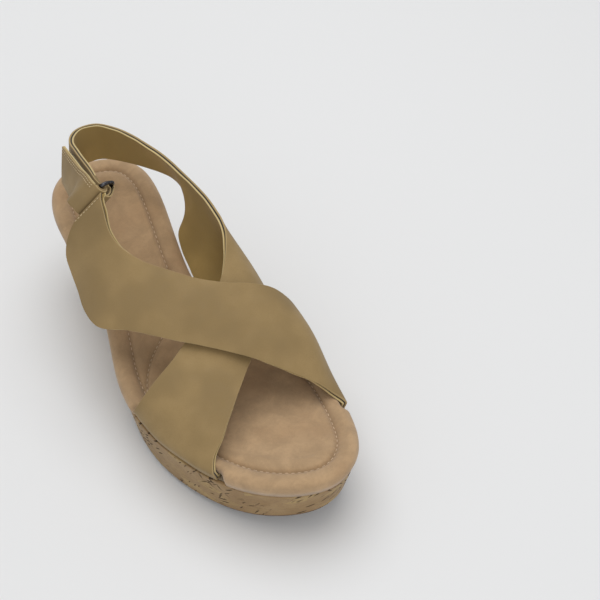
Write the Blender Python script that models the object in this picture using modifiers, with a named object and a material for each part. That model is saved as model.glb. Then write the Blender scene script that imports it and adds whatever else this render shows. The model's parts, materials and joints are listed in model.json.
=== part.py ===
"""A right-foot wedge sandal: cork-wrapped wedge sole, padded footbed, two crossed straps and a slingback
with a hook-and-loop tab folded over a wire ring. Metres, +Z up; the toe points to -Y and the inner
(medial) side of the foot is +X. The origin is on the ground under the middle of the sole."""

import math

import bmesh
import bpy
import numpy as np
from mathutils import Vector

MM = 0.001

# Driving sizes of the sole
SOLE_LENGTH = 262 * MM
BALL_WIDTH = 97 * MM
PLATFORM_HEIGHT = 27 * MM  # top of the cork at the ball of the foot
HEEL_HEIGHT = 61 * MM  # top of the cork at the heel seat
TOE_SPRING = 12 * MM  # how far the toe is lifted off the ground
TREAD_START = -40 * MM  # the sole is flat on the ground behind this
GROUND_TAPER = 1.0  # share of the drawn inset between the top and the ground outline

# Sheet thicknesses
CLEARANCE = 0.3 * MM
OUTSOLE = 3.0 * MM
CORK = 2.0 * MM
BOARD = 1.8 * MM
SUEDE = 1.2 * MM
LEATHER = 1.0 * MM
TAPE = 0.5 * MM
LINING = 0.8 * MM
STRAP = LEATHER + TAPE + LINING + 2 * CLEARANCE
DRAWN_STRAP = 2.9 * MM  # the thickness that the straps' shapes are drawn for

# Heights over the cork's top edge line
STACK_GAP = 0.45 * MM  # between the layers that bend with the sole
BOARD_RISE = CLEARANCE + STRAP + STACK_GAP
FOAM_RISE = BOARD_RISE + BOARD + STACK_GAP
RIM_RISE = 11.0 * MM
CHANNEL_RISE = 8.6 * MM
PAD_RISE = 10.0 * MM
CHANNEL_INSET = 10.0 * MM  # stitched channel inside the edge
HEEL_CUP = 1.6 * MM
BOARD_INSET = 5.0 * MM
LASTING = 11.0 * MM  # strap ends turned in under the board
LASTING_BEND = 0.5 * MM  # inside radius where a strap turns under

# Steel shank and its rivets
SHANK_WIDTH = 12 * MM
SHANK_LENGTH = 104 * MM
SHANK_MIDDLE = 44 * MM
SHANK_THICKNESS = 1.3 * MM
SHANK_DROP = 0.5 * MM  # below the shank board's top
RIVET_RADIUS = 1.6 * MM
RIVET_HEAD = 3.2 * MM
RIVET_HEAD_HEIGHT = 0.7 * MM
RIVET_INSET = 12 * MM

# Ring and closure
WIRE_RADIUS = 1.1 * MM
RING_DEPTH = 9.5 * MM  # between the middles of its two long bars
RING_PLAY = 1.2 * MM  # between the ring's end bars and the strap's edges
RING_LEAN = 12.0  # degrees that the ring leans to the heel from square to the strap
KEEPER_ROOM = 0.65 * MM  # play of the wire in the keeper
KEEPER = 0.9 * MM
KEEPER_LEG = 8.0 * MM
FOLD_ROOM = 1.0 * MM  # play of the wire in the sling's fold
FOLD = 2.0 * MM
FOLD_LEG = 12 * MM
FOLD_END = 1.2 * MM  # how far the fold runs past the wire's middle, where the tab's living hinge is
TAB_LENGTH = 44 * MM
TOUCH_TAPE = 1.0 * MM
TOUCH_TAPE_SIDE = 2.5 * MM  # each tape stops this far inside the strap's edges
TOUCH_TAPE_START = 12 * MM
TOUCH_TAPE_END = 40 * MM

# The drawn last: millimetres at these two sizes, scaled to the driving sizes
DRAWN_LENGTH = 262.0
DRAWN_WIDTH = 97.0

# Outline of the cork's top edge, from the heel's back along the inner side to the toe and back along the
# outer side. Opposite points have the same place in the list counted from either end.
TOP_OUTLINE = [
    (-0.5, 134.5), (26.5, 124.5), (31.2, 90.0), (20.8, 39.0), (27.0, -6.0), (47.0, -42.0), (43.7, -86.0),
    (30.6, -117.0), (6.2, -127.5), (-20.7, -113.0), (-39.0, -85.0), (-49.8, -43.0), (-47.2, -1.0),
    (-33.0, 43.5), (-31.3, 87.0), (-22.0, 120.0),
]
# The same points at the ground: tucked in round the heel, almost straight down elsewhere.
GROUND_OUTLINE = [
    (0.0, 122.0), (19.0, 114.0), (24.0, 87.0), (19.6, 39.0), (25.5, -6.0), (45.0, -42.0), (41.7, -84.0),
    (28.6, -112.5), (5.2, -122.0), (-19.7, -108.5), (-37.0, -82.0), (-47.3, -42.5), (-42.5, -1.0),
    (-27.0, 43.0), (-22.0, 86.0), (-16.0, 112.0),
]
TOE_INDEX = 8
# Height of the cork's top edge along the sole: y, share of the toe spring, share of the heel lift
EDGE_LINE = [
    (-131.0, 0.68, 0.0), (-90.0, 0.29, 0.0), (-45.0, 0.0, 0.0), (0.0, 0.0, 0.06), (45.0, 0.0, 0.45),
    (90.0, 0.0, 0.96), (135.0, 0.0, 1.02),
]

PERIMETER_STEPS = 24
STRAP_LENGTHWISE = 2  # faces between successive drawn sections
STRAP_ACROSS = 5

CLOSED = "closed"
OPEN = "open"


def cubic(knots, values, kind):
    """A cubic spline through the values, natural at its ends or closed, as a function of the knots' parameter."""
    knots = np.asarray(knots, float)
    values = np.asarray(values, float).reshape(len(values), -1)
    if kind == CLOSED:
        knots = np.append(knots, 2 * knots[-1] - knots[-2])
        values = np.vstack([values, values[:1]])
    n = len(knots)
    step = np.diff(knots)
    rows = np.zeros((n, n))
    right = np.zeros((n, values.shape[1]))
    for i in range(1, n - 1):
        rows[i, i - 1 : i + 2] = step[i - 1], 2 * (step[i - 1] + step[i]), step[i]
        right[i] = 6 * ((values[i + 1] - values[i]) / step[i] - (values[i] - values[i - 1]) / step[i - 1])
    if kind == CLOSED:
        rows[0, 0], rows[0, -1] = 1, -1
        rows[-1, 0], rows[-1, 1] = 2 * step[0], step[0]
        rows[-1, -1], rows[-1, -2] = 2 * step[-1], step[-1]
        right[-1] = 6 * ((values[1] - values[0]) / step[0] - (values[-1] - values[-2]) / step[-1])
    else:
        rows[0, 0] = rows[-1, -1] = 1
    bend = np.linalg.solve(rows, right)

    def at(where):
        where = np.atleast_1d(np.asarray(where, float))
        i = np.clip(np.searchsorted(knots, where, side="right") - 1, 0, n - 2)
        h = step[i][:, None]
        a = (knots[i + 1] - where)[:, None]
        b = (where - knots[i])[:, None]
        return (
            (bend[i] * a**3 + bend[i + 1] * b**3) / (6 * h)
            + (values[i] / h - bend[i] * h / 6) * a
            + (values[i + 1] / h - bend[i + 1] * h / 6) * b
        )

    return at


def to_size(points):
    """Drawn millimetres of the last's plan to metres at the driving sizes."""
    scale = np.array([BALL_WIDTH / DRAWN_WIDTH, SOLE_LENGTH / DRAWN_LENGTH])
    return np.asarray(points, float) * scale


TOP_CURVE = cubic(range(len(TOP_OUTLINE)), to_size(TOP_OUTLINE), CLOSED)
GROUND_CURVE = cubic(range(len(GROUND_OUTLINE)), to_size(GROUND_OUTLINE), CLOSED)
EDGE_HEIGHT = cubic(
    [y * SOLE_LENGTH / DRAWN_LENGTH for y, _, _ in EDGE_LINE],
    [PLATFORM_HEIGHT + toe * TOE_SPRING + heel * (HEEL_HEIGHT - PLATFORM_HEIGHT) for _, toe, heel in EDGE_LINE],
    OPEN,
)


def edge_height(y):
    """Height of the cork's top edge line over the ground."""
    return EDGE_HEIGHT(y)[:, 0]


def ground_height(y):
    """Underside of the outsole: flat, then curving up to the toe."""
    toe = -SOLE_LENGTH / 2 + 4 * MM
    share = np.clip((TREAD_START - np.atleast_1d(y)) / (TREAD_START - toe), 0, 1)
    return TOE_SPRING * share**2


def inner_at(y):
    """Parameter of the top outline on the inner side at this y."""
    dense = np.linspace(0, TOE_INDEX, 400)
    return float(np.interp(-y, -TOP_CURVE(dense)[:, 1], dense))


def outer_at(y):
    """Parameter of the top outline on the outer side at this y, counted back from the heel."""
    last = len(TOP_OUTLINE)
    dense = np.linspace(0, last - TOE_INDEX, 400)
    return float(np.interp(-y, -TOP_CURVE(last - dense)[:, 1], dense))


# Where each strap's end goes in under the footbed: side, front and rear y
CROSS_STRAP_SEAT = ("inner", *(to_size([(0, -88), (0, -38)])[:, 1]))
SLING_STRAP_SEAT = ("outer", *(to_size([(0, -88), (0, -27)])[:, 1]))
NOTCH_MARGIN = 1.2 * MM
NOTCH_STEP = 1.0 * MM


def seat_marks():
    """Parameters where the cover's skirt steps up to let a strap in, for both sides."""
    marks = []
    for side, front, rear in (CROSS_STRAP_SEAT, SLING_STRAP_SEAT):
        find = inner_at if side == "inner" else outer_at
        for y, away in ((front, -1), (rear, 1)):
            for extra in (NOTCH_MARGIN, NOTCH_MARGIN + NOTCH_STEP):
                marks.append(find(y + away * extra))
    return marks


def perimeter_parameters():
    """Parameters from the heel to the toe, used down both sides so that opposite points pair up."""
    even = list(np.linspace(0, TOE_INDEX, PERIMETER_STEPS + 1))
    marks = seat_marks()
    kept = [t for t in even if min(abs(t - m) for m in marks) > 0.07 or t in (0, TOE_INDEX)]
    return np.array(sorted(kept + marks))


STATIONS = perimeter_parameters()


def ring_of(curve):
    """The closed outline's points: heel, inner side, toe, outer side."""
    last = len(TOP_OUTLINE)
    back = last - STATIONS[1:-1][::-1]
    return curve(np.concatenate([STATIONS, back]))


def inset(outline, distance):
    """The closed outline moved inwards by a distance, or outwards if it is negative."""
    along = np.roll(outline, -1, 0) - np.roll(outline, 1, 0)
    along /= np.linalg.norm(along, axis=1)[:, None]
    inwards = np.stack([along[:, 1], -along[:, 0]], 1)
    return outline + inwards * distance


def raised(outline, heights):
    return np.column_stack([outline, heights])


def new_object(name, verts, faces, colour, roughness, metallic=0.0):
    mesh = bpy.data.meshes.new(name)
    mesh.from_pydata([tuple(v) for v in verts], [], faces)
    obj = bpy.data.objects.new(name, mesh)
    SANDAL.objects.link(obj)
    finish(obj, colour, roughness, metallic)
    return obj


def finish(obj, colour, roughness, metallic=0.0):
    material = bpy.data.materials.new(obj.name)
    material.use_nodes = True
    shader = material.node_tree.nodes["Principled BSDF"]
    shader.inputs["Base Color"].default_value = (*colour, 1)
    shader.inputs["Roughness"].default_value = roughness
    shader.inputs["Metallic"].default_value = metallic
    obj.data.materials.append(material)
    if obj.type == "MESH":
        obj.data.shade_smooth()
        obj.data.set_sharp_from_angle(angle=math.radians(40))


def ring_faces(rings, count):
    """Quads between successive closed rings of this many points, wound so that rising rings face out."""
    faces = []
    for k in range(rings - 1):
        for i in range(count):
            j = (i + 1) % count
            faces.append((k * count + i, (k + 1) * count + i, (k + 1) * count + j, k * count + j))
    return faces


def ladder(start, count, upwards):
    """Faces across one ring, pairing each inner-side point with the outer-side point opposite it."""
    steps = len(STATIONS) - 1
    faces = []
    for j in range(steps):
        inner, inner_next = start + j, start + j + 1
        outer, outer_next = start + (count - j) % count, start + count - j - 1
        face = [inner, inner_next, outer_next, outer]
        face = [v for k, v in enumerate(face) if v not in face[:k]]
        faces.append(tuple(face[::-1] if upwards else face))
    return faces


def lofted(name, rings, colour, roughness):
    """A closed solid through rings from the bottom to the top, capped at both ends."""
    count = len(rings[0])
    faces = ladder(0, count, False) + ring_faces(len(rings), count) + ladder((len(rings) - 1) * count, count, True)
    return new_object(name, np.vstack(rings), faces, colour, roughness)


def wall_outline(height_share, inward):
    """Outline of the wedge's side at a share of the way from the ground to the top edge."""
    top, ground = ring_of(TOP_CURVE), ring_of(GROUND_CURVE)
    ground = top + (ground - top) * GROUND_TAPER
    return inset(ground + (top - ground) * height_share, inward)


def wedge_ring(inward, height_share, above=0.0, below_top=0.0):
    """A ring on the wedge's wall, its height measured up from the ground or down from the top edge."""
    outline = wall_outline(height_share, inward)
    low = ground_height(outline[:, 1]) + above
    high = edge_height(outline[:, 1]) - below_top
    return raised(outline, low + (high - low) * height_share)


def make_outsole():
    edge = 1.0 * MM
    outline = wall_outline(0.0, edge)
    low = ground_height(outline[:, 1])
    rings = [
        raised(inset(outline, edge), low),
        raised(outline, low + edge),
        raised(outline, low + OUTSOLE),
    ]
    return lofted("outsole", rings, (0.38, 0.26, 0.17), 0.75)


def make_wedge_core():
    inward = CORK + CLEARANCE
    base = OUTSOLE + CLEARANCE
    rings = [wedge_ring(inward, share, above=base, below_top=0.0) for share in (0.0, 0.5, 1.0)]
    return lofted("wedge_core", rings, (0.72, 0.66, 0.56), 0.8)


def make_cork_wrap():
    base = OUTSOLE + CLEARANCE
    rings = [wedge_ring(0.0, share, above=base) for share in (0.0, 0.35, 0.7, 1.0)]
    count = len(rings[0])
    obj = new_object("cork_wrap", np.vstack(rings), ring_faces(len(rings), count), (0.55, 0.38, 0.22), 0.6)
    thicken(obj, CORK)
    return obj


def thicken(obj, thickness):
    """Solidify inwards from the drawn outer face."""
    shell = obj.modifiers.new("thickness", "SOLIDIFY")
    shell.thickness = thickness
    shell.offset = -1
    return obj


def slab(name, distance, low_rise, high_rise, colour, roughness):
    """A sheet lying along the edge line."""
    outline = inset(ring_of(TOP_CURVE), distance)
    rings = [raised(outline, edge_height(outline[:, 1]) + rise) for rise in (low_rise, high_rise)]
    return lofted(name, rings, colour, roughness)


def box_cutter(name, y_from, y_to):
    """A box across the whole sole between two places along it."""
    half = SOLE_LENGTH
    corners = [(x, y, z) for x in (-half, half) for y in (y_from, y_to) for z in (-half, half)]
    faces = [(0, 1, 3, 2), (4, 6, 7, 5), (0, 4, 5, 1), (2, 3, 7, 6), (0, 2, 6, 4), (1, 5, 7, 3)]
    return cutter_object(new_object(name, corners, faces, (0.5, 0.5, 0.5), 0.5))


def cut(obj, cutter):
    carve = obj.modifiers.new("cut", "BOOLEAN")
    carve.operation = "DIFFERENCE"
    carve.solver = "EXACT"
    carve.object = cutter


def cutter_object(obj):
    SANDAL.objects.unlink(obj)
    CUTTERS.objects.link(obj)
    obj.hide_render = True
    obj.display_type = "WIRE"
    return obj


def strip(name, width, y_from, y_to, low_rise, high_rise, steps=14):
    """A straight strip along the sole's middle line that follows the edge line's height."""
    middle = shank_x()
    y = np.linspace(y_from, y_to, steps + 1)
    rows = []
    for x, rise in ((-1, low_rise), (1, low_rise), (1, high_rise), (-1, high_rise)):
        rows.append(np.column_stack([np.full(len(y), middle + x * width / 2), y, edge_height(y) + rise]))
    verts = np.stack(rows, 1).reshape(-1, 3)
    faces = [(0, 1, 2, 3), tuple(steps * 4 + k for k in (3, 2, 1, 0))]
    for i in range(steps):
        for k in range(4):
            a, b = i * 4 + k, i * 4 + (k + 1) % 4
            faces.append((b, a, a + 4, b + 4))
    return new_object(name, verts, faces, (0.62, 0.62, 0.6), 0.35, 0.9)


def shank_x():
    """The shank runs under the middle of the waist."""
    inner = TOP_CURVE(inner_at(SHANK_MIDDLE))[0, 0]
    outer = TOP_CURVE(len(TOP_OUTLINE) - outer_at(SHANK_MIDDLE))[0, 0]
    return (inner + outer) / 2


def make_insole(foam):
    """Filler in front, slotted shank board behind, the shank in its slot, and the board riveted to it."""
    split = SHANK_MIDDLE - SHANK_LENGTH / 2 - 8 * MM
    filler = slab("bottom_filler", LASTING + 2 * MM, CLEARANCE, CLEARANCE + STRAP, (0.6, 0.5, 0.4), 0.9)
    cut(filler, box_cutter("behind_the_filler", split - CLEARANCE, SOLE_LENGTH))
    shank_board = slab("shank_board", BOARD_INSET, CLEARANCE, CLEARANCE + STRAP, (0.45, 0.36, 0.27), 0.9)
    cut(shank_board, box_cutter("before_the_shank_board", -SOLE_LENGTH, split))
    board = slab("insole_board", BOARD_INSET, BOARD_RISE, BOARD_RISE + BOARD, (0.5, 0.42, 0.33), 0.9)
    ends = (SHANK_MIDDLE - SHANK_LENGTH / 2, SHANK_MIDDLE + SHANK_LENGTH / 2)
    top = CLEARANCE + STRAP - SHANK_DROP
    shank = strip("steel_shank", SHANK_WIDTH, *ends, top - SHANK_THICKNESS, top)
    room = (ends[0] - CLEARANCE, ends[1] + CLEARANCE)
    slot_width = SHANK_WIDTH + 2 * CLEARANCE
    slot = strip("shank_slot", slot_width, *room, top - SHANK_THICKNESS - CLEARANCE, top + 3 * MM)
    cut(shank_board, cutter_object(slot))
    for name, y in (("front", ends[0] + RIVET_INSET), ("rear", ends[1] - RIVET_INSET)):
        make_rivet(name, y, board, shank, foam)


def make_rivet(name, y, board, shank, foam):
    """A rivet through the steel and the board, its flat head let into the foam's underside."""
    slope = float(edge_height(y + MM)[0] - edge_height(y - MM)[0]) / (2 * MM)
    low = CLEARANCE + STRAP - SHANK_DROP - SHANK_THICKNESS
    high = BOARD_RISE + BOARD + CLEARANCE
    radius, head = RIVET_RADIUS, RIVET_HEAD
    solid = [(head, high + RIVET_HEAD_HEIGHT), (head, high), (radius, high), (radius, low)]
    hole = [(radius + CLEARANCE, high), (radius + CLEARANCE, low - 2 * MM)]
    pocket = [(head + CLEARANCE, high + RIVET_HEAD_HEIGHT + CLEARANCE), (head + CLEARANCE, high - MM)]
    for purpose, profile in (("shank_rivet", solid), ("rivet_hole", hole), ("head_pocket", pocket)):
        obj = turned(f"{purpose}_{name}", profile)
        obj.location = (shank_x(), y, float(edge_height(y)[0]))
        obj.rotation_euler = (math.atan(slope), 0, 0)
        if purpose == "rivet_hole":
            cutter_object(obj)
            cut(board, obj)
            cut(shank, obj)
        if purpose == "head_pocket":
            cutter_object(obj)
            cut(foam, obj)


def turned(name, profile):
    """A profile of radius and height, from the top down, closed on its axis and turned about Z."""
    verts = [(0, 0, profile[0][1])] + [(r, 0, z) for r, z in profile] + [(0, 0, profile[-1][1])]
    mesh = bpy.data.meshes.new(name)
    mesh.from_pydata(verts, [(i, i + 1) for i in range(len(verts) - 1)], [])
    obj = bpy.data.objects.new(name, mesh)
    SANDAL.objects.link(obj)
    screw = obj.modifiers.new("turn", "SCREW")
    screw.steps = screw.render_steps = 16
    screw.use_merge_vertices = True
    screw.merge_threshold = 0.01 * MM
    finish(obj, (0.55, 0.48, 0.35), 0.4, 0.9)
    return obj


def seat_shares(ramp):
    """For each perimeter point, 1 where a strap goes in and 0 beyond it, easing off over the ramp's length."""
    shares = []
    for seat, stations in ((CROSS_STRAP_SEAT, STATIONS), (SLING_STRAP_SEAT, STATIONS[1:-1][::-1])):
        side, front, rear = seat
        last = len(TOP_OUTLINE)
        places = TOP_CURVE(stations if side == "inner" else last - stations)[:, 1]
        beyond = np.maximum(front - NOTCH_MARGIN - places, places - rear - NOTCH_MARGIN)
        away = np.clip(beyond / ramp, 0, 1)
        shares.append(1 - away * away * (3 - 2 * away))
    return np.concatenate(shares)


# The footbed's section from its lower hem inwards: distance inside the outline and rise over the edge
# line, where the side is free and where a strap lies against it.
RIM_SECTION = [
    (-1.5 * MM, 2.9 * MM, FOAM_RISE - 0.5 * MM),
    (-0.9 * MM, 1.9 * MM, RIM_RISE - 2.4 * MM),
    (1.2 * MM, 2.6 * MM, RIM_RISE - 0.6 * MM),
    (3.6 * MM, 4.0 * MM, RIM_RISE),
    (CHANNEL_INSET - 2.6 * MM, CHANNEL_INSET - 2.6 * MM, RIM_RISE - 0.9 * MM),
    (CHANNEL_INSET, CHANNEL_INSET, CHANNEL_RISE),
    (CHANNEL_INSET + 2.8 * MM, CHANNEL_INSET + 2.8 * MM, PAD_RISE - 0.4 * MM),
    (CHANNEL_INSET + 8 * MM, CHANNEL_INSET + 8 * MM, PAD_RISE),
]
HEM_UNDER_STRAP = 3.4 * MM
HEM_RISE = 0.45 * MM
SQUEEZE_RAMP = 9 * MM
# How much of the suede's depth the foam is moved in and down by at each ring of the section
FOAM_IN = (1.2, 1.1, 0.7, 0, 0, 0, 0, 0)
FOAM_DOWN = (0, 0.7, 1.0, 1.0, 1.0, 1.0, 1.0, 1.0)


def footbed_rings(depth):
    """Rings of the footbed's surface from its side to the middle pad, this far inside the suede's face."""
    outline = ring_of(TOP_CURVE)
    pressed = seat_shares(SQUEEZE_RAMP)
    rings = []
    for k, (free, under_strap, rise) in enumerate(RIM_SECTION):
        distance = free + (under_strap - free) * pressed + depth * FOAM_IN[k]
        ring = inset(outline, distance[:, None])
        rings.append(raised(ring, edge_height(ring[:, 1]) + rise - depth * FOAM_DOWN[k]))
    rings[-1][:, 2] -= HEEL_CUP * np.sin(np.pi * np.clip(rings[-1][:, 1] / (SOLE_LENGTH / 2), 0, 1)) ** 2
    return rings


def make_footbed_foam():
    """Moulded foam that gives the footbed its rolled edge; the board is under it."""
    depth = SUEDE + CLEARANCE
    rings = footbed_rings(depth)
    rings[0][:, 2] = edge_height(rings[0][:, 1]) + FOAM_RISE
    return lofted("footbed_foam", rings, (0.82, 0.76, 0.62), 0.9)


def make_footbed_cover():
    """Suede sock over the foam and down its side to the cork, its hem stepped up over the strap ends."""
    outline = ring_of(TOP_CURVE)
    pressed = seat_shares(SQUEEZE_RAMP)
    over_strap = seat_shares(NOTCH_STEP)
    hem = inset(outline, (HEM_UNDER_STRAP * pressed)[:, None])
    rises = HEM_RISE + (BOARD_RISE - HEM_RISE) * over_strap
    rings = [raised(hem, edge_height(hem[:, 1]) + rises)] + footbed_rings(0.0)
    count = len(hem)
    faces = ring_faces(len(rings), count) + ladder((len(rings) - 1) * count, count, True)
    obj = new_object("footbed_cover", np.vstack(rings), faces, (0.62, 0.45, 0.31), 0.9)
    return thicken(obj, SUEDE)


DRAWN_EDGE_HEIGHT = cubic([y for y, _, _ in EDGE_LINE], [27 + 12 * t + 34 * h for _, t, h in EDGE_LINE], OPEN)


def over_last(point):
    """A point drawn over the nominal last, in millimetres, carried with the sole's length, width and height."""
    x, y, z = point
    plan = to_size([[x, y]])[0]
    rise = z - float(DRAWN_EDGE_HEIGHT(y)[0, 0])
    return np.array([plan[0], plan[1], float(edge_height(plan[1])[0]) + rise * MM])


def unit(vector):
    vector = np.asarray(vector, float)
    return vector / np.linalg.norm(vector, axis=-1, keepdims=True)


# The closure, drawn on the nominal last in millimetres: the middle line of the ring's outer bar, and which way
# the sling leaves it.
BAR_LOW = (-28.4, 66.6, 100.8)
BAR_TOP = (-16.1, 60.3, 116.8)
SLING_LEAVES = (0.05, 0.90, 0.25)
SLING_SLANT = 0.4  # how far the sling's way drops along the bar for each step to the heel
FOLD_RADIUS = WIRE_RADIUS + FOLD_ROOM  # inside the fold
SLING_UNDER_BAR = FOLD_RADIUS - LEATHER - CLEARANCE  # the sling's outer face, inside the bar's middle
CROSS_OVER_BAR = FOLD_RADIUS + FOLD - 0.5 * MM  # the cross strap's outer face, outside the bar's middle
CROSS_STOPS = FOLD_RADIUS + FOLD + 0.8 * MM  # in front of the bar's middle


class Closure:
    """The frame of the closure: along the bar, to the heel and outwards."""

    def __init__(self):
        self.low = over_last(BAR_LOW)
        self.top = over_last(BAR_TOP)
        self.middle = (self.low + self.top) / 2
        self.along = unit(self.top - self.low)
        self.out = unit(np.cross(self.along, np.array(SLING_LEAVES)))
        self.back = unit(np.cross(self.out, self.along))
        self.width = float(np.linalg.norm(self.top - self.low))

    def at(self, along, back, out):
        """A point from the middle of the ring's outer bar."""
        return self.middle + self.along * along + self.back * back + self.out * out


# The straps' outer faces as sections across them, from one end to the other: front or lower edge, rear or
# upper edge, and how much the middle bulges. Drawn on the nominal last in millimetres.
CROSS_SECTIONS = [
    ((40.5, -82.0, 45.0), (51.0, -36.5, 51.0), 4.0),
    ((33.0, -76.0, 52.5), (48.0, -34.0, 67.0), 5.0),
    ((21.0, -67.0, 61.0), (39.5, -28.0, 79.5), 4.5),
    ((6.0, -52.5, 68.0), (27.0, -21.0, 85.5), 3.0),
    ((-10.0, -37.0, 71.5), (15.0, -15.0, 88.0), 3.0),
    ((-25.0, -20.5, 72.0), (4.0, -4.0, 88.0), 3.0),
    ((-38.5, -2.0, 70.0), (-6.0, 10.0, 88.5), 3.0),
    ((-49.5, 12.0, 66.8), (-15.0, 21.5, 91.0), 2.5),
    ((-50.2, 27.0, 66.4), (-20.0, 30.5, 94.0), 2.0),
    ((-47.3, 41.0, 69.8), (-22.3, 37.5, 97.0), 1.8),
    ((-45.3, 52.0, 73.5), (-22.8, 43.0, 101.0), 1.2),
    ((-43.6, 59.5, 78.0), (-22.2, 46.6, 105.0), 0.8),
    ((-41.0, 62.8, 83.5), (-21.5, 49.5, 109.0), 0.5),
    ((-38.2, 63.3, 90.0), (-21.0, 52.0, 112.8), 0.2),
    ((-35.3, 62.5, 96.3), (-20.5, 53.9, 115.4), 0.0),
]
SLING_SECTIONS = [
    ((-36.0, -83.5, 44.5), (-53.5, -30.5, 42.0), 1.5),
    ((-28.0, -79.0, 50.0), (-50.0, -32.5, 49.5), 2.0),
    ((-18.0, -71.5, 55.0), (-41.0, -32.0, 57.5), 2.0),
    ((-8.0, -64.0, 59.0), (-30.0, -30.0, 63.5), 2.0),
    ((3.0, -55.0, 61.5), (-17.0, -25.0, 68.5), 2.0),
    ((14.0, -47.0, 64.0), (-4.0, -19.0, 73.0), 2.0),
    ((25.5, -39.5, 66.0), (9.0, -12.5, 78.0), 2.0),
    ((35.5, -33.5, 66.5), (20.0, -4.0, 82.0), 2.0),
    ((42.8, -26.0, 58.0), (28.0, 5.0, 85.0), 3.0),
    ((44.0, -15.0, 47.5), (33.5, 13.0, 87.0), 5.0),
    ((37.5, 0.5, 42.0), (37.0, 19.5, 89.5), 7.0),
    ((26.8, 17.0, 39.5), (38.8, 26.0, 92.0), 8.0),
    ((24.5, 31.5, 43.2), (39.0, 32.0, 94.0), 7.0),
    ((25.6, 44.0, 47.7), (38.6, 38.5, 95.8), 6.0),
    ((27.6, 54.0, 52.6), (38.0, 45.0, 97.3), 5.0),
    ((30.2, 60.3, 57.7), (37.4, 51.5, 98.6), 4.0),
    ((34.6, 61.8, 64.5), (36.6, 58.0, 99.8), 3.0),
    ((38.4, 62.8, 73.5), (35.6, 65.0, 101.0), 1.2),
    ((40.8, 69.0, 81.2), (34.2, 73.5, 102.4), 0.3),
    ((40.0, 79.5, 84.2), (32.0, 83.0, 103.8), 0.0),
    ((36.5, 89.5, 84.2), (29.0, 92.3, 105.0), 0.0),
    ((30.5, 99.5, 84.0), (25.3, 102.0, 106.5), 0.0),
    ((21.5, 112.0, 84.0), (19.5, 112.5, 108.0), 0.0),
    ((11.5, 120.3, 84.5), (11.5, 120.5, 109.0), 0.0),
    ((1.0, 120.8, 85.3), (2.0, 121.5, 110.0), 0.0),
    ((-8.5, 117.0, 86.8), (-5.5, 118.5, 110.8), 0.0),
    ((-15.3, 109.0, 88.4), (-11.0, 111.5, 111.6), 0.0),
    ((-18.2, 98.5, 90.2), (-12.6, 101.0, 112.6), 0.0),
    ((-20.5, 88.0, 92.4), (-13.6, 90.0, 113.6), 0.0),
    ((-23.4, 78.0, 95.6), (-14.8, 78.5, 114.8), 0.0),
]


OWN_WAY = 0.3  # share of a point's own direction in its normal


def rim_point(side, place, distance, rise):
    """A point this far inside the top outline and over the edge line, on one side at this y."""
    last = len(TOP_OUTLINE)
    at = inner_at(place) if side == "inner" else last - outer_at(place)
    here, ahead = TOP_CURVE(at)[0], TOP_CURVE(at + 0.01)[0]
    along = unit(ahead - here)
    plan = here + np.array([along[1], -along[0]]) * distance
    return np.array([*plan, float(edge_height(plan[1])[0]) + rise])


def seat_sections(seat, shares, thicker):
    """Sections of a strap's outer face from the end turned in under the board to above the footbed's rim."""
    side, front, rear = seat
    bend = STRAP + LASTING_BEND
    middle = bend - CLEARANCE  # of the bend, inside the outline
    path = [(LASTING, CLEARANCE), (middle + 2.5 * MM, CLEARANCE)]
    for angle in (90, 60, 30, 0):
        turn = math.radians(angle)
        path.append((middle - bend * math.cos(turn), CLEARANCE + bend - bend * math.sin(turn)))
    path += [(-1.3 * MM - thicker, 6.6 * MM), (-2.2 * MM - thicker, 9.5 * MM)]
    places = front + (rear - front) * shares
    return [np.array([rim_point(side, place, *point) for place in places]) for point in path]


def free_sections(sections, shares, thicker, turn):
    """Drawn sections as points across the strap, bulged and moved out along the section's own normal."""
    edges = [(over_last(front), over_last(rear), crown * MM) for front, rear, crown in sections]
    middles = np.array([(front + rear) / 2 for front, rear, _ in edges])
    rows = []
    for k, (front, rear, crown) in enumerate(edges):
        along = middles[min(k + 1, len(edges) - 1)] - middles[max(k - 1, 0)]
        out = unit(np.cross(rear - front, along)) * turn
        bulge = crown * 4 * shares * (1 - shares) + thicker
        rows.append(front + (rear - front) * shares[:, None] + out * bulge[:, None])
    return rows


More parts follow.
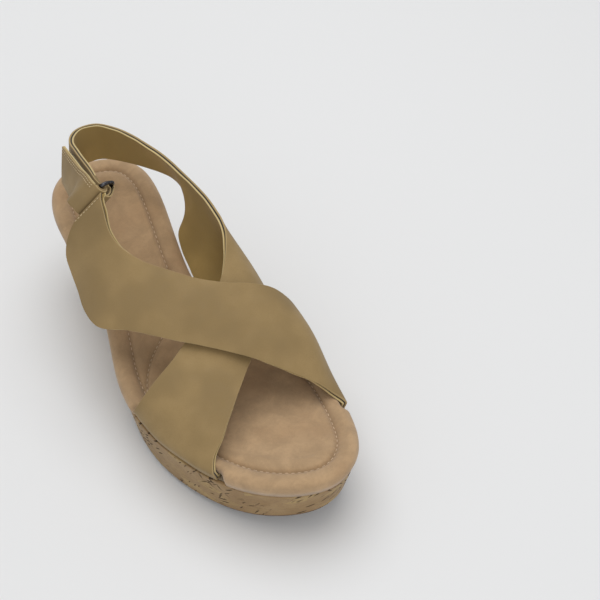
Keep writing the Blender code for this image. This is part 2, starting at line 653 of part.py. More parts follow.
class Strap:
    """A strap's outer face, as one spline along it for each place across it. Its turn is 1 where its outer
    side is to the right of the way along it and the rows run from right to left, otherwise -1."""

    def __init__(self, rows, turn):
        self.turn = turn
        rows = np.array(rows)
        middles = rows.mean(axis=1)
        steps = np.linalg.norm(np.diff(middles, axis=0), axis=1) ** 0.5
        self.knots = np.concatenate([[0], np.cumsum(steps)])
        self.rows = rows
        slopes = np.diff(rows, axis=0) / steps[:, None, None]
        before, after = steps[:-1, None, None], steps[1:, None, None]
        inner = (slopes[:-1] * after + slopes[1:] * before) / (before + after)
        self.slopes = np.concatenate([slopes[:1], inner, slopes[-1:]])

    def face(self, where):
        """Points across the strap at parameters along it, as an array of rows."""
        where = np.atleast_1d(where)
        i = np.clip(np.searchsorted(self.knots, where, side="right") - 1, 0, len(self.knots) - 2)
        step = (self.knots[i + 1] - self.knots[i])[:, None, None]
        t = ((where - self.knots[i])[:, None, None]) / step
        return (
            self.rows[i] * (1 + 2 * t) * (1 - t) ** 2
            + self.slopes[i] * step * t * (1 - t) ** 2
            + self.rows[i + 1] * t * t * (3 - 2 * t)
            - self.slopes[i + 1] * step * t * t * (1 - t)
        )

    def normals(self, where):
        """Normals of the face, taken with the way along the whole width so that layers keep apart where one
        edge turns a corner."""
        small = 1e-4
        where = np.clip(where, self.knots[0] + small, self.knots[-1] - small)
        along = unit(self.face(where + small) - self.face(where - small))
        along = along * OWN_WAY + along.mean(axis=1, keepdims=True) * (1 - OWN_WAY)
        return unit(np.cross(np.gradient(self.face(where), axis=1), along)) * self.turn

    def offset(self, where, distance):
        """The face moved along its own normals, outwards if the distance is positive."""
        where = np.atleast_1d(where)
        return self.face(where) + self.normals(where) * distance

    def parameters(self):
        """Parameters at even steps between the drawn sections, twice as many near the ring."""
        last = len(self.knots) - 1
        counts = [STRAP_LENGTHWISE * (2 if k >= last - 2 else 1) for k in range(last)]
        spans = [np.linspace(self.knots[k], self.knots[k + 1], counts[k], endpoint=False) for k in range(last)]
        return np.concatenate(spans + [self.knots[-1:]])

    def behind_end(self, distance):
        """The parameter this far along the strap's middle from its last section."""
        dense = np.linspace(self.knots[-6], self.knots[-1], 400)
        middles = self.face(dense).mean(axis=1)
        steps = np.linalg.norm(np.diff(middles, axis=0), axis=1)
        left = np.concatenate([[0], np.cumsum(steps[::-1])])
        return float(np.interp(distance, left, dense[::-1]))


def sheet(name, outer, inner, colour, roughness):
    """A closed solid between two faces given as rows of points."""
    rows, across = outer.shape[:2]
    verts = np.concatenate([outer.reshape(-1, 3), inner.reshape(-1, 3)])
    under = rows * across
    faces = []
    for i in range(rows - 1):
        for j in range(across - 1):
            a, b, c, d = i * across + j, (i + 1) * across + j, (i + 1) * across + j + 1, i * across + j + 1
            for corners in ((a, b, c), (a, c, d)):
                faces += [corners[::-1], tuple(under + corner for corner in corners)]
    rim = [(i, 0) for i in range(rows)] + [(rows - 1, j) for j in range(1, across)]
    rim += [(i, across - 1) for i in range(rows - 2, -1, -1)] + [(0, j) for j in range(across - 2, 0, -1)]
    edge = [i * across + j for i, j in rim]
    for a, b in zip(edge, edge[1:] + edge[:1]):
        faces.append((a, b, under + b, under + a))
    solid = new_object(name, verts, faces, colour, roughness)
    face_out(solid)
    return solid


def layers(name, strap, stops):
    """The leather, the reinforcing tape inside it and the lining of a strap, each stopping short of its end."""
    whole = strap.parameters()
    depth = 0.0
    for (layer, thickness, margin, colour), stop in zip(STRAP_LAYERS, stops):
        end = strap.behind_end(stop)
        where = np.append(whole[whole < end - 0.02], end)
        shares = np.linspace(margin, 1 - margin, STRAP_ACROSS + 1)
        faces = [strap.offset(where, -down) for down in (depth, depth + thickness)]
        faces = [np.array([between_all(row, shares) for row in face]) for face in faces]
        sheet(f"{name}_{layer}", *faces, colour, 0.85)
        depth += thickness + CLEARANCE


# Layer, thickness, share of the width that it stops inside each edge, and colour
STRAP_LAYERS = (
    ("leather", LEATHER, 0.0, (0.29, 0.21, 0.12)),
    ("tape", TAPE, 0.02, (0.05, 0.045, 0.04)),
    ("lining", LINING, 0.0, (0.50, 0.40, 0.22)),
)


def make_cross_strap(closure):
    """The upper strap, from the inner side of the sole over the instep to the ring's keeper."""
    thicker = 2 * (STRAP - DRAWN_STRAP)
    shares = np.linspace(0, 1, STRAP_ACROSS + 1)
    rows = seat_sections(CROSS_STRAP_SEAT, shares, thicker)
    rows += free_sections(CROSS_SECTIONS, shares, thicker, 1)
    half = closure.width / 2
    rows.append(np.array([closure.at(s, -CROSS_STOPS, CROSS_OVER_BAR) for s in np.linspace(-half, half, len(shares))]))
    strap = Strap(rows, 1)
    layers("cross_strap", strap, (0.0, 0.0, 0.0))
    return strap


def make_sling(closure):
    """The lower strap, from the outer side of the sole under the cross strap and round the heel to the ring.
    Near the ring its tape and lining give way to the folded strip."""
    thicker = STRAP - DRAWN_STRAP
    shares = np.linspace(0, 1, STRAP_ACROSS + 1)
    rows = seat_sections(SLING_STRAP_SEAT, shares, thicker)
    rows += free_sections(SLING_SECTIONS, shares, thicker, -1)
    half = closure.width / 2
    places = np.linspace(-half, half, len(shares))
    for back, out in ((6 * MM, -0.3 * MM), (0.0, 0.0)):
        slant = back * SLING_SLANT
        rows.append(np.array([closure.at(s - slant, back, out - SLING_UNDER_BAR) for s in places]))
    strap = Strap(rows, -1)
    layers("sling", strap, (WIRE_RADIUS + 1.8 * MM, FOLD_LEG + CLEARANCE, FOLD_LEG + CLEARANCE))
    return strap


def make_fold(closure, sling):
    """Strip sewn under the sling's end and turned round the ring's outer bar, where it ends beside the tab."""
    start = sling.behind_end(FOLD_LEG)
    whole = sling.parameters()
    where = np.append(start, whole[whole > start + 0.02])[:-1]
    under = LEATHER + CLEARANCE
    outer = sling.offset(where, -under)
    inner = sling.offset(where, -under - FOLD)
    half = closure.width / 2
    places = np.linspace(-half, half, STRAP_ACROSS + 1)
    turn_outer, turn_inner = [], []
    for angle in np.linspace(0, math.pi, 9):
        for rows, radius in ((turn_outer, FOLD_RADIUS), (turn_inner, FOLD_RADIUS + FOLD)):
            back, out = -radius * math.sin(angle), -radius * math.cos(angle)
            rows.append([closure.at(s, back, out) for s in places])
    for rows, radius in ((turn_outer, FOLD_RADIUS), (turn_inner, FOLD_RADIUS + FOLD)):
        rows.append([closure.at(s, FOLD_END, radius) for s in places])
    faces = np.concatenate([outer, turn_outer]), np.concatenate([inner, turn_inner])
    return sheet("sling_fold", *faces, (0.27, 0.20, 0.12), 0.85)


def make_tab(closure, sling):
    """The free end: a flap over the sling, on a living hinge at the fold, with hook tape inside it."""
    across = np.linspace(0, 1, STRAP_ACROSS + 1)
    inside = FOLD_RADIUS + SLING_UNDER_BAR  # the tab's inner face over the sling's outer face
    hinge = closure.at(0, FOLD_END + CLEARANCE / 2, FOLD_RADIUS + FOLD)
    root = FOLD_END + CLEARANCE
    reach = np.array([sling.behind_end(d) for d in np.linspace(6 * MM, TAB_LENGTH, 14)])
    half = closure.width / 2
    faces = []
    for level in (inside + FOLD, inside):
        slant = root * SLING_SLANT
        first = np.array([[closure.at((2 * u - 1) * half - slant, root, level - SLING_UNDER_BAR) for u in across]])
        faces.append(np.concatenate([first, sling.offset(reach, level)]))
    tab = sheet("tab", *faces, (0.30, 0.22, 0.13), 0.85)
    reach = np.array([sling.behind_end(d) for d in np.linspace(TOUCH_TAPE_START, TOUCH_TAPE_END, 10)])
    margin = TOUCH_TAPE_SIDE / closure.width
    shares = np.linspace(margin, 1 - margin, STRAP_ACROSS + 1)
    tapes = []
    for name, low in (("loop_tape", CLEARANCE), ("hook_tape", 2 * CLEARANCE + TOUCH_TAPE)):
        sides = []
        for level in (low + TOUCH_TAPE, low):
            whole = sling.offset(reach, level)
            sides.append(np.array([between_all(row, shares) for row in whole]))
        tapes.append(sheet(name, *sides, (0.16, 0.14, 0.09), 0.95))
    move_origin(tab, hinge)
    move_origin(tapes[1], hinge)
    follow(tapes[1], tab)


def between(row, share):
    """A point a share of the way along a row of points."""
    place = share * (len(row) - 1)
    k = min(int(place), len(row) - 2)
    return row[k] + (row[k + 1] - row[k]) * (place - k)


def between_all(row, shares):
    return np.array([between(row, share) for share in shares])


def move_origin(obj, place):
    """Puts the object's origin at a place, leaving its shape where it is."""
    shift = Vector(place) - obj.location
    for vert in obj.data.vertices:
        vert.co -= shift
    obj.location = place


def follow(obj, parent):
    place = obj.location - parent.location
    obj.parent = parent
    obj.location = place


def ring_axes(closure):
    """The inner bar's middle and the way to it from the outer bar."""
    lean = math.radians(RING_LEAN)
    return math.sin(lean) * closure.back - math.cos(lean) * closure.out


def make_ring(closure):
    """A rectangular wire ring. Its outer bar is in the sling's fold and its inner bar in the keeper."""
    inwards = ring_axes(closure)
    half = closure.width / 2 + RING_PLAY + WIRE_RADIUS
    corner = 3.0 * MM
    path = []
    for side_along, side_in in ((1, 0), (1, 1), (-1, 1), (-1, 0)):
        centre_along = side_along * (half - corner)
        centre_in = corner if side_in == 0 else RING_DEPTH - corner
        start = {(1, 0): -90, (1, 1): 0, (-1, 1): 90, (-1, 0): 180}[(side_along, side_in)]
        for k in range(5):
            turn = math.radians(start + 90 * k / 4)
            path.append((centre_along + corner * math.cos(turn), centre_in + corner * math.sin(turn)))
    pivot = closure.middle + inwards * RING_DEPTH
    wire = bpy.data.curves.new("ring", "CURVE")
    wire.dimensions = "3D"
    wire.bevel_depth = WIRE_RADIUS
    wire.bevel_resolution = 3
    line = wire.splines.new("POLY")
    line.points.add(len(path) - 1)
    for point, (a, i) in zip(line.points, path):
        place = closure.middle + closure.along * a + inwards * i - pivot
        point.co = (*place, 1)
    line.use_cyclic_u = True
    ring = bpy.data.objects.new("ring", wire)
    ring.location = pivot
    SANDAL.objects.link(ring)
    finish(ring, (0.18, 0.18, 0.19), 0.25, 1.0)
    return ring


def face_out(obj):
    """Turns every face out."""
    shape = bmesh.new()
    shape.from_mesh(obj.data)
    bmesh.ops.recalc_face_normals(shape, faces=shape.faces)
    if shape.calc_volume(signed=True) < 0:
        bmesh.ops.reverse_faces(shape, faces=shape.faces)
    shape.to_mesh(obj.data)
    shape.free()


def make_keeper(closure, cross):
    """Strip looped round the ring's inner bar, both ends sewn flat inside the cross strap's end."""
    inwards = ring_axes(closure)
    bar = np.array([inwards @ closure.back, inwards @ closure.out]) * RING_DEPTH
    loop = WIRE_RADIUS + KEEPER_ROOM + KEEPER / 2
    step = KEEPER + CLEARANCE
    under_strap = STRAP + STACK_GAP + KEEPER / 2
    where = np.array([cross.behind_end(d) for d in (KEEPER_LEG + 2 * MM, KEEPER_LEG / 2 + 2 * MM, 2 * MM)])
    half = closure.width / 2 - 0.8 * MM
    places = np.linspace(-half, half, STRAP_ACROSS + 1)
    shares = (places / closure.width) + 0.5
    turns = [math.radians(degrees) for degrees in range(140, -151, -29)]
    around = [(bar[0] + loop * math.cos(turn), bar[1] + loop * math.sin(turn)) for turn in turns]
    clear = FOLD_RADIUS + FOLD
    around = [(-clear - 0.6 * MM, -clear + 0.4 * MM)] + around + [(-clear - 1.6 * MM, -clear - 0.5 * MM)]
    rows = [between_all(row, shares) for row in cross.offset(where, -under_strap)]
    rows += [np.array([closure.at(s, back, out) for s in places]) for back, out in around]
    rows += [between_all(row, shares) for row in cross.offset(where[::-1], -under_strap - step)]
    strip_face = Strap(rows, 1)
    dense = strip_face.parameters()
    faces = [strip_face.offset(dense, side * KEEPER / 2) for side in (1, -1)]
    sheet("ring_keeper", *faces, (0.27, 0.20, 0.12), 0.85)


def collection(name):
    made = bpy.data.collections.new(name)
    bpy.context.scene.collection.children.link(made)
    return made


for old in list(bpy.data.objects):
    bpy.data.objects.remove(old, do_unlink=True)
SANDAL = collection("wedge_sandal")
CUTTERS = collection("cutters")

make_outsole()
make_wedge_core()
make_cork_wrap()
FOAM = make_footbed_foam()
make_insole(FOAM)
make_footbed_cover()
CLOSURE = Closure()
CROSS = make_cross_strap(CLOSURE)
SLING = make_sling(CLOSURE)
make_fold(CLOSURE, SLING)
make_tab(CLOSURE, SLING)
make_ring(CLOSURE)
make_keeper(CLOSURE, CROSS)
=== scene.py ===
"""The looks of a wedge sandal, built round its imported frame. Metres, +Z up; the toe points to -Y and the
inner side of the foot is +X."""

import json
import math

import bmesh
import bpy
import numpy as np
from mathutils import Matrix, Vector

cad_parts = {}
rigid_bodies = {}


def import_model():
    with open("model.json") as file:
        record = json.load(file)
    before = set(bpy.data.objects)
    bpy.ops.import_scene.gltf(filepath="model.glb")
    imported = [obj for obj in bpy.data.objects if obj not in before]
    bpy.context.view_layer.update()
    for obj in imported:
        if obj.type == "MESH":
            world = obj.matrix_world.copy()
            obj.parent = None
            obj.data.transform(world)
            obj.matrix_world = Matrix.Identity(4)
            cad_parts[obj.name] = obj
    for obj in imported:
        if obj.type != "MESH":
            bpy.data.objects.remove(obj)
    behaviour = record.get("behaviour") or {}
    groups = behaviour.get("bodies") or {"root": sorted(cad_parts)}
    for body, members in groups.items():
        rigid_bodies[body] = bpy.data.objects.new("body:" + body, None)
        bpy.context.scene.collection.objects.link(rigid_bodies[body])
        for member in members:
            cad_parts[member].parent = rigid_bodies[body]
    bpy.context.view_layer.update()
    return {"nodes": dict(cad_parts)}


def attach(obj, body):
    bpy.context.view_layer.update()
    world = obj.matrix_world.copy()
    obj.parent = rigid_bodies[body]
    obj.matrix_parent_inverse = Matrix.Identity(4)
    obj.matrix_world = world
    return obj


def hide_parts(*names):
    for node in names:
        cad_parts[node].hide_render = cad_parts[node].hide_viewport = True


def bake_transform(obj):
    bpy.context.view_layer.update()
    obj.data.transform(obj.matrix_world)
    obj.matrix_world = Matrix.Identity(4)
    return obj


MM = 0.001

for leftover in list(bpy.data.objects):
    bpy.data.objects.remove(leftover, do_unlink=True)
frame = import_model()
NODES = frame["nodes"]

# Sizes that the solids under the looks have
SOLE_LENGTH = 262 * MM
BALL_WIDTH = 97 * MM
PLATFORM_HEIGHT = 27 * MM
HEEL_HEIGHT = 61 * MM
TOE_SPRING = 12 * MM
TREAD_START = -40 * MM
CLEARANCE = 0.3 * MM
OUTSOLE = 3.0 * MM
CORK = 2.0 * MM
SUEDE = 1.2 * MM
LEATHER = 1.0 * MM
SKIN = 1.05 * MM  # the strap's layers as they look: leather, middle tape and lining
MIDDLE = 0.85 * MM
LINING = 1.0 * MM
STRAP = SKIN + MIDDLE + LINING
BOARD_RISE = 3.65 * MM
FOAM_RISE = 5.9 * MM
RIM_RISE = 11.0 * MM
CHANNEL_RISE = 8.6 * MM
PAD_RISE = 10.0 * MM
CHANNEL_INSET = 10.0 * MM
HEEL_CUP = 1.6 * MM
LASTING = 11.0 * MM
LASTING_BEND = 0.5 * MM
WIRE_RADIUS = 1.1 * MM
RING_DEPTH = 9.5 * MM
RING_PLAY = 1.2 * MM
RING_LEAN = 12.0
KEEPER_ROOM = 0.65 * MM
KEEPER = 0.9 * MM
KEEPER_LEG = 8.0 * MM
FOLD_ROOM = 1.0 * MM
FOLD = 2.0 * MM
FOLD_LEG = 12 * MM
FOLD_END = 1.2 * MM
TAB_LENGTH = 44 * MM
TOUCH_TAPE_SIDE = 2.5 * MM
TOUCH_TAPE_START = 12 * MM
TOUCH_TAPE_END = 40 * MM
DRAWN_LENGTH = 262.0
DRAWN_WIDTH = 97.0
CLOSED = "closed"
OPEN = "open"
OWN_WAY = 0.3  # share of a point's own direction in its normal

# How the straps' cut edges look
EASED = 0.3 * MM
TAPE_INSET = 0.35 * MM
LINING_REACH = 0.1 * MM
EDGE_WEAR = 0.9 * MM

# How finely each visible surface is sampled
STRAP_COLUMNS = 30
STRAP_ROW = 1.7 * MM
PERIMETER_STEPS = 300
PAD_COLUMNS = 44

TOP_OUTLINE = [
    (-0.5, 134.5), (26.5, 124.5), (31.2, 90.0), (20.8, 39.0), (27.0, -6.0), (47.0, -42.0), (43.7, -86.0),
    (30.6, -117.0), (6.2, -127.5), (-20.7, -113.0), (-39.0, -85.0), (-49.8, -43.0), (-47.2, -1.0),
    (-33.0, 43.5), (-31.3, 87.0), (-22.0, 120.0),
]
# The same points at the ground: tucked in round the heel, almost straight down elsewhere.
GROUND_OUTLINE = [
    (0.0, 122.0), (19.0, 114.0), (24.0, 87.0), (19.6, 39.0), (25.5, -6.0), (45.0, -42.0), (41.7, -84.0),
    (28.6, -112.5), (5.2, -122.0), (-19.7, -108.5), (-37.0, -82.0), (-47.3, -42.5), (-42.5, -1.0),
    (-27.0, 43.0), (-22.0, 86.0), (-16.0, 112.0),
]
TOE_INDEX = 8
# Height of the cork's top edge along the sole: y, share of the toe spring, share of the heel lift
EDGE_LINE = [
    (-131.0, 0.68, 0.0), (-90.0, 0.29, 0.0), (-45.0, 0.0, 0.0), (0.0, 0.0, 0.06), (45.0, 0.0, 0.45),
    (90.0, 0.0, 0.96), (135.0, 0.0, 1.02),
]


def cubic(knots, values, kind):
    """A cubic spline through the values, natural at its ends or closed, as a function of a parameter."""
    knots = np.asarray(knots, float)
    values = np.asarray(values, float).reshape(len(values), -1)
    if kind == CLOSED:
        knots = np.append(knots, 2 * knots[-1] - knots[-2])
        values = np.vstack([values, values[:1]])
    n = len(knots)
    step = np.diff(knots)
    rows = np.zeros((n, n))
    right = np.zeros((n, values.shape[1]))
    for i in range(1, n - 1):
        rows[i, i - 1 : i + 2] = step[i - 1], 2 * (step[i - 1] + step[i]), step[i]
        right[i] = 6 * ((values[i + 1] - values[i]) / step[i] - (values[i] - values[i - 1]) / step[i - 1])
    if kind == CLOSED:
        rows[0, 0], rows[0, -1] = 1, -1
        rows[-1, 0], rows[-1, 1] = 2 * step[0], step[0]
        rows[-1, -1], rows[-1, -2] = 2 * step[-1], step[-1]
        right[-1] = 6 * ((values[1] - values[0]) / step[0] - (values[-1] - values[-2]) / step[-1])
    else:
        rows[0, 0] = rows[-1, -1] = 1
    bend = np.linalg.solve(rows, right)

    def at(where):
        where = np.atleast_1d(np.asarray(where, float))
        i = np.clip(np.searchsorted(knots, where, side="right") - 1, 0, n - 2)
        h = step[i][:, None]
        a = (knots[i + 1] - where)[:, None]
        b = (where - knots[i])[:, None]
        return (
            (bend[i] * a**3 + bend[i + 1] * b**3) / (6 * h)
            + (values[i] / h - bend[i] * h / 6) * a
            + (values[i + 1] / h - bend[i + 1] * h / 6) * b
        )

    return at


def run_along(line):
    """Length along a line at each of its points."""
    return np.concatenate([[0], np.cumsum(np.linalg.norm(np.diff(line, axis=0), axis=1))])


def to_size(points):
    """Drawn millimetres of the last's plan to metres at the driving sizes."""
    scale = np.array([BALL_WIDTH / DRAWN_WIDTH, SOLE_LENGTH / DRAWN_LENGTH])
    return np.asarray(points, float) * scale


TOP_CURVE = cubic(range(len(TOP_OUTLINE)), to_size(TOP_OUTLINE), CLOSED)
GROUND_CURVE = cubic(range(len(GROUND_OUTLINE)), to_size(GROUND_OUTLINE), CLOSED)
EDGE_HEIGHT = cubic(
    [y * SOLE_LENGTH / DRAWN_LENGTH for y, _, _ in EDGE_LINE],
    [
        PLATFORM_HEIGHT + toe * TOE_SPRING + heel * (HEEL_HEIGHT - PLATFORM_HEIGHT)
        for _, toe, heel in EDGE_LINE
    ],
    OPEN,
)


def edge_height(y):
    """Height of the cork's top edge line over the ground."""
    return EDGE_HEIGHT(y)[:, 0]


def ground_height(y):
    """Underside of the outsole: flat, then curving up to the toe."""
    toe = -SOLE_LENGTH / 2 + 4 * MM
    share = np.clip((TREAD_START - np.atleast_1d(y)) / (TREAD_START - toe), 0, 1)
    return TOE_SPRING * share**2


def inner_at(y):
    """Parameter of the top outline on the inner side at this y."""
    dense = np.linspace(0, TOE_INDEX, 400)
    return float(np.interp(-y, -TOP_CURVE(dense)[:, 1], dense))


def outer_at(y):
    """Parameter of the top outline on the outer side at this y, counted back from the heel."""
    last = len(TOP_OUTLINE)
    dense = np.linspace(0, last - TOE_INDEX, 400)
    return float(np.interp(-y, -TOP_CURVE(last - dense)[:, 1], dense))


# Where each strap's end goes in under the footbed: side, front and rear y
CROSS_STRAP_SEAT = ("inner", *(to_size([(0, -88), (0, -38)])[:, 1]))
SLING_STRAP_SEAT = ("outer", *(to_size([(0, -88), (0, -27)])[:, 1]))


DRAWN_EDGE_HEIGHT = cubic([y for y, _, _ in EDGE_LINE], [27 + 12 * t + 34 * h for _, t, h in EDGE_LINE], OPEN)


def over_last(point):
    """A point drawn over the nominal last, in millimetres, carried with the sole's own sizes."""
    x, y, z = point
    plan = to_size([[x, y]])[0]
    rise = z - float(DRAWN_EDGE_HEIGHT(y)[0, 0])
    return np.array([plan[0], plan[1], float(edge_height(plan[1])[0]) + rise * MM])


def unit(vector):
    vector = np.asarray(vector, float)
    return vector / np.linalg.norm(vector, axis=-1, keepdims=True)


# The closure, drawn on the nominal last in millimetres: the middle line of the ring's outer bar, and which
# way the sling leaves it.
BAR_LOW = (-28.4, 66.6, 100.8)
BAR_TOP = (-16.1, 60.3, 116.8)
SLING_LEAVES = (0.05, 0.90, 0.25)
SLING_SLANT = 0.4  # how far the sling's way drops along the bar for each step to the heel
FOLD_RADIUS = WIRE_RADIUS + FOLD_ROOM  # inside the fold
SLING_UNDER_BAR = FOLD_RADIUS - LEATHER - CLEARANCE  # the sling's outer face, inside the bar's middle
CROSS_OVER_BAR = FOLD_RADIUS + FOLD - 0.5 * MM  # the cross strap's outer face, outside the bar's middle
CROSS_STOPS = FOLD_RADIUS + FOLD + 0.8 * MM  # in front of the bar's middle


class Closure:
    """The frame of the closure: along the bar, to the heel and outwards."""

    def __init__(self):
        self.low = over_last(BAR_LOW)
        self.top = over_last(BAR_TOP)
        self.middle = (self.low + self.top) / 2
        self.along = unit(self.top - self.low)
        self.out = unit(np.cross(self.along, np.array(SLING_LEAVES)))
        self.back = unit(np.cross(self.out, self.along))
        self.width = float(np.linalg.norm(self.top - self.low))

    def at(self, along, back, out):
        """A point from the middle of the ring's outer bar."""
        return self.middle + self.along * along + self.back * back + self.out * out


# The straps' outer faces as sections across them, from one end to the other: front or lower edge, rear or
# upper edge, and how much the middle bulges. Drawn on the nominal last in millimetres.
CROSS_SECTIONS = [
    ((40.5, -82.0, 45.0), (51.0, -36.5, 51.0), 4.0),
    ((33.0, -76.0, 52.5), (48.0, -34.0, 67.0), 5.0),
    ((21.0, -67.0, 61.0), (39.5, -28.0, 79.5), 4.5),
    ((6.0, -52.5, 68.0), (27.0, -21.0, 85.5), 3.0),
    ((-10.0, -37.0, 71.5), (15.0, -15.0, 88.0), 3.0),
    ((-25.0, -20.5, 72.0), (4.0, -4.0, 88.0), 3.0),
    ((-38.5, -2.0, 70.0), (-6.0, 10.0, 88.5), 3.0),
    ((-49.5, 12.0, 66.8), (-15.0, 21.5, 91.0), 2.5),
    ((-50.2, 27.0, 66.4), (-20.0, 30.5, 94.0), 2.0),
    ((-47.3, 41.0, 69.8), (-22.3, 37.5, 97.0), 1.8),
    ((-45.3, 52.0, 73.5), (-22.8, 43.0, 101.0), 1.2),
    ((-43.6, 59.5, 78.0), (-22.2, 46.6, 105.0), 0.8),
    ((-41.0, 62.8, 83.5), (-21.5, 49.5, 109.0), 0.5),
    ((-38.2, 63.3, 90.0), (-21.0, 52.0, 112.8), 0.2),
    ((-35.3, 62.5, 96.3), (-20.5, 53.9, 115.4), 0.0),
]
SLING_SECTIONS = [
    ((-36.0, -83.5, 44.5), (-53.5, -30.5, 42.0), 1.5),
    ((-28.0, -79.0, 50.0), (-50.0, -32.5, 49.5), 2.0),
    ((-18.0, -71.5, 55.0), (-41.0, -32.0, 57.5), 2.0),
    ((-8.0, -64.0, 59.0), (-30.0, -30.0, 63.5), 2.0),
    ((3.0, -55.0, 61.5), (-17.0, -25.0, 68.5), 2.0),
    ((14.0, -47.0, 64.0), (-4.0, -19.0, 73.0), 2.0),
    ((25.5, -39.5, 66.0), (9.0, -12.5, 78.0), 2.0),
    ((35.5, -33.5, 66.5), (20.0, -4.0, 82.0), 2.0),
    ((42.8, -26.0, 58.0), (28.0, 5.0, 85.0), 3.0),
    ((44.0, -15.0, 47.5), (33.5, 13.0, 87.0), 5.0),
    ((37.5, 0.5, 42.0), (37.0, 19.5, 89.5), 7.0),
    ((26.8, 17.0, 39.5), (38.8, 26.0, 92.0), 8.0),
    ((24.5, 31.5, 43.2), (39.0, 32.0, 94.0), 7.0),
    ((25.6, 44.0, 47.7), (38.6, 38.5, 95.8), 6.0),
    ((27.6, 54.0, 52.6), (38.0, 45.0, 97.3), 5.0),
    ((30.2, 60.3, 57.7), (37.4, 51.5, 98.6), 4.0),
    ((34.6, 61.8, 64.5), (36.6, 58.0, 99.8), 3.0),
    ((38.4, 62.8, 73.5), (35.6, 65.0, 101.0), 1.2),
    ((40.8, 69.0, 81.2), (34.2, 73.5, 102.4), 0.3),
    ((40.0, 79.5, 84.2), (32.0, 83.0, 103.8), 0.0),
    ((36.5, 89.5, 84.2), (29.0, 92.3, 105.0), 0.0),
    ((30.5, 99.5, 84.0), (25.3, 102.0, 106.5), 0.0),
    ((21.5, 112.0, 84.0), (19.5, 112.5, 108.0), 0.0),
    ((11.5, 120.3, 84.5), (11.5, 120.5, 109.0), 0.0),
    ((1.0, 120.8, 85.3), (2.0, 121.5, 110.0), 0.0),
    ((-8.5, 117.0, 86.8), (-5.5, 118.5, 110.8), 0.0),
    ((-15.3, 109.0, 88.4), (-11.0, 111.5, 111.6), 0.0),
    ((-18.2, 98.5, 90.2), (-12.6, 101.0, 112.6), 0.0),
    ((-20.5, 88.0, 92.4), (-13.6, 90.0, 113.6), 0.0),
    ((-23.4, 78.0, 95.6), (-14.8, 78.5, 114.8), 0.0),
]


def rim_point(side, place, distance, rise):
    """A point this far inside the top outline and over the edge line, on one side at this y."""
    last = len(TOP_OUTLINE)
    at = inner_at(place) if side == "inner" else last - outer_at(place)
    here, ahead = TOP_CURVE(at)[0], TOP_CURVE(at + 0.01)[0]
    along = unit(ahead - here)
    plan = here + np.array([along[1], -along[0]]) * distance
    return np.array([*plan, float(edge_height(plan[1])[0]) + rise])


def seat_sections(seat, shares, thicker):
    """Sections of a strap's outer face from the end turned in under the board to above the footbed's rim."""
    side, front, rear = seat
    bend = STRAP + LASTING_BEND
    middle = bend - CLEARANCE  # of the bend, inside the outline
    path = [(LASTING, CLEARANCE), (middle + 2.5 * MM, CLEARANCE)]
    for angle in (90, 60, 30, 0):
        turn = math.radians(angle)
        path.append((middle - bend * math.cos(turn), CLEARANCE + bend - bend * math.sin(turn)))
    path += [(-1.3 * MM - thicker, 6.6 * MM), (-2.2 * MM - thicker, 9.5 * MM)]
    places = front + (rear - front) * shares
    return [np.array([rim_point(side, place, *point) for place in places]) for point in path]


def free_sections(sections, shares, thicker, turn):
    """Drawn sections as points across the strap, bulged and moved out along the section's own normal."""
    edges = [(over_last(front), over_last(rear), crown * MM) for front, rear, crown in sections]
    middles = np.array([(front + rear) / 2 for front, rear, _ in edges])
    rows = []
    for k, (front, rear, crown) in enumerate(edges):
        along = middles[min(k + 1, len(edges) - 1)] - middles[max(k - 1, 0)]
        out = unit(np.cross(rear - front, along)) * turn
        bulge = crown * 4 * shares * (1 - shares) + thicker
        rows.append(front + (rear - front) * shares[:, None] + out * bulge[:, None])
    return rows


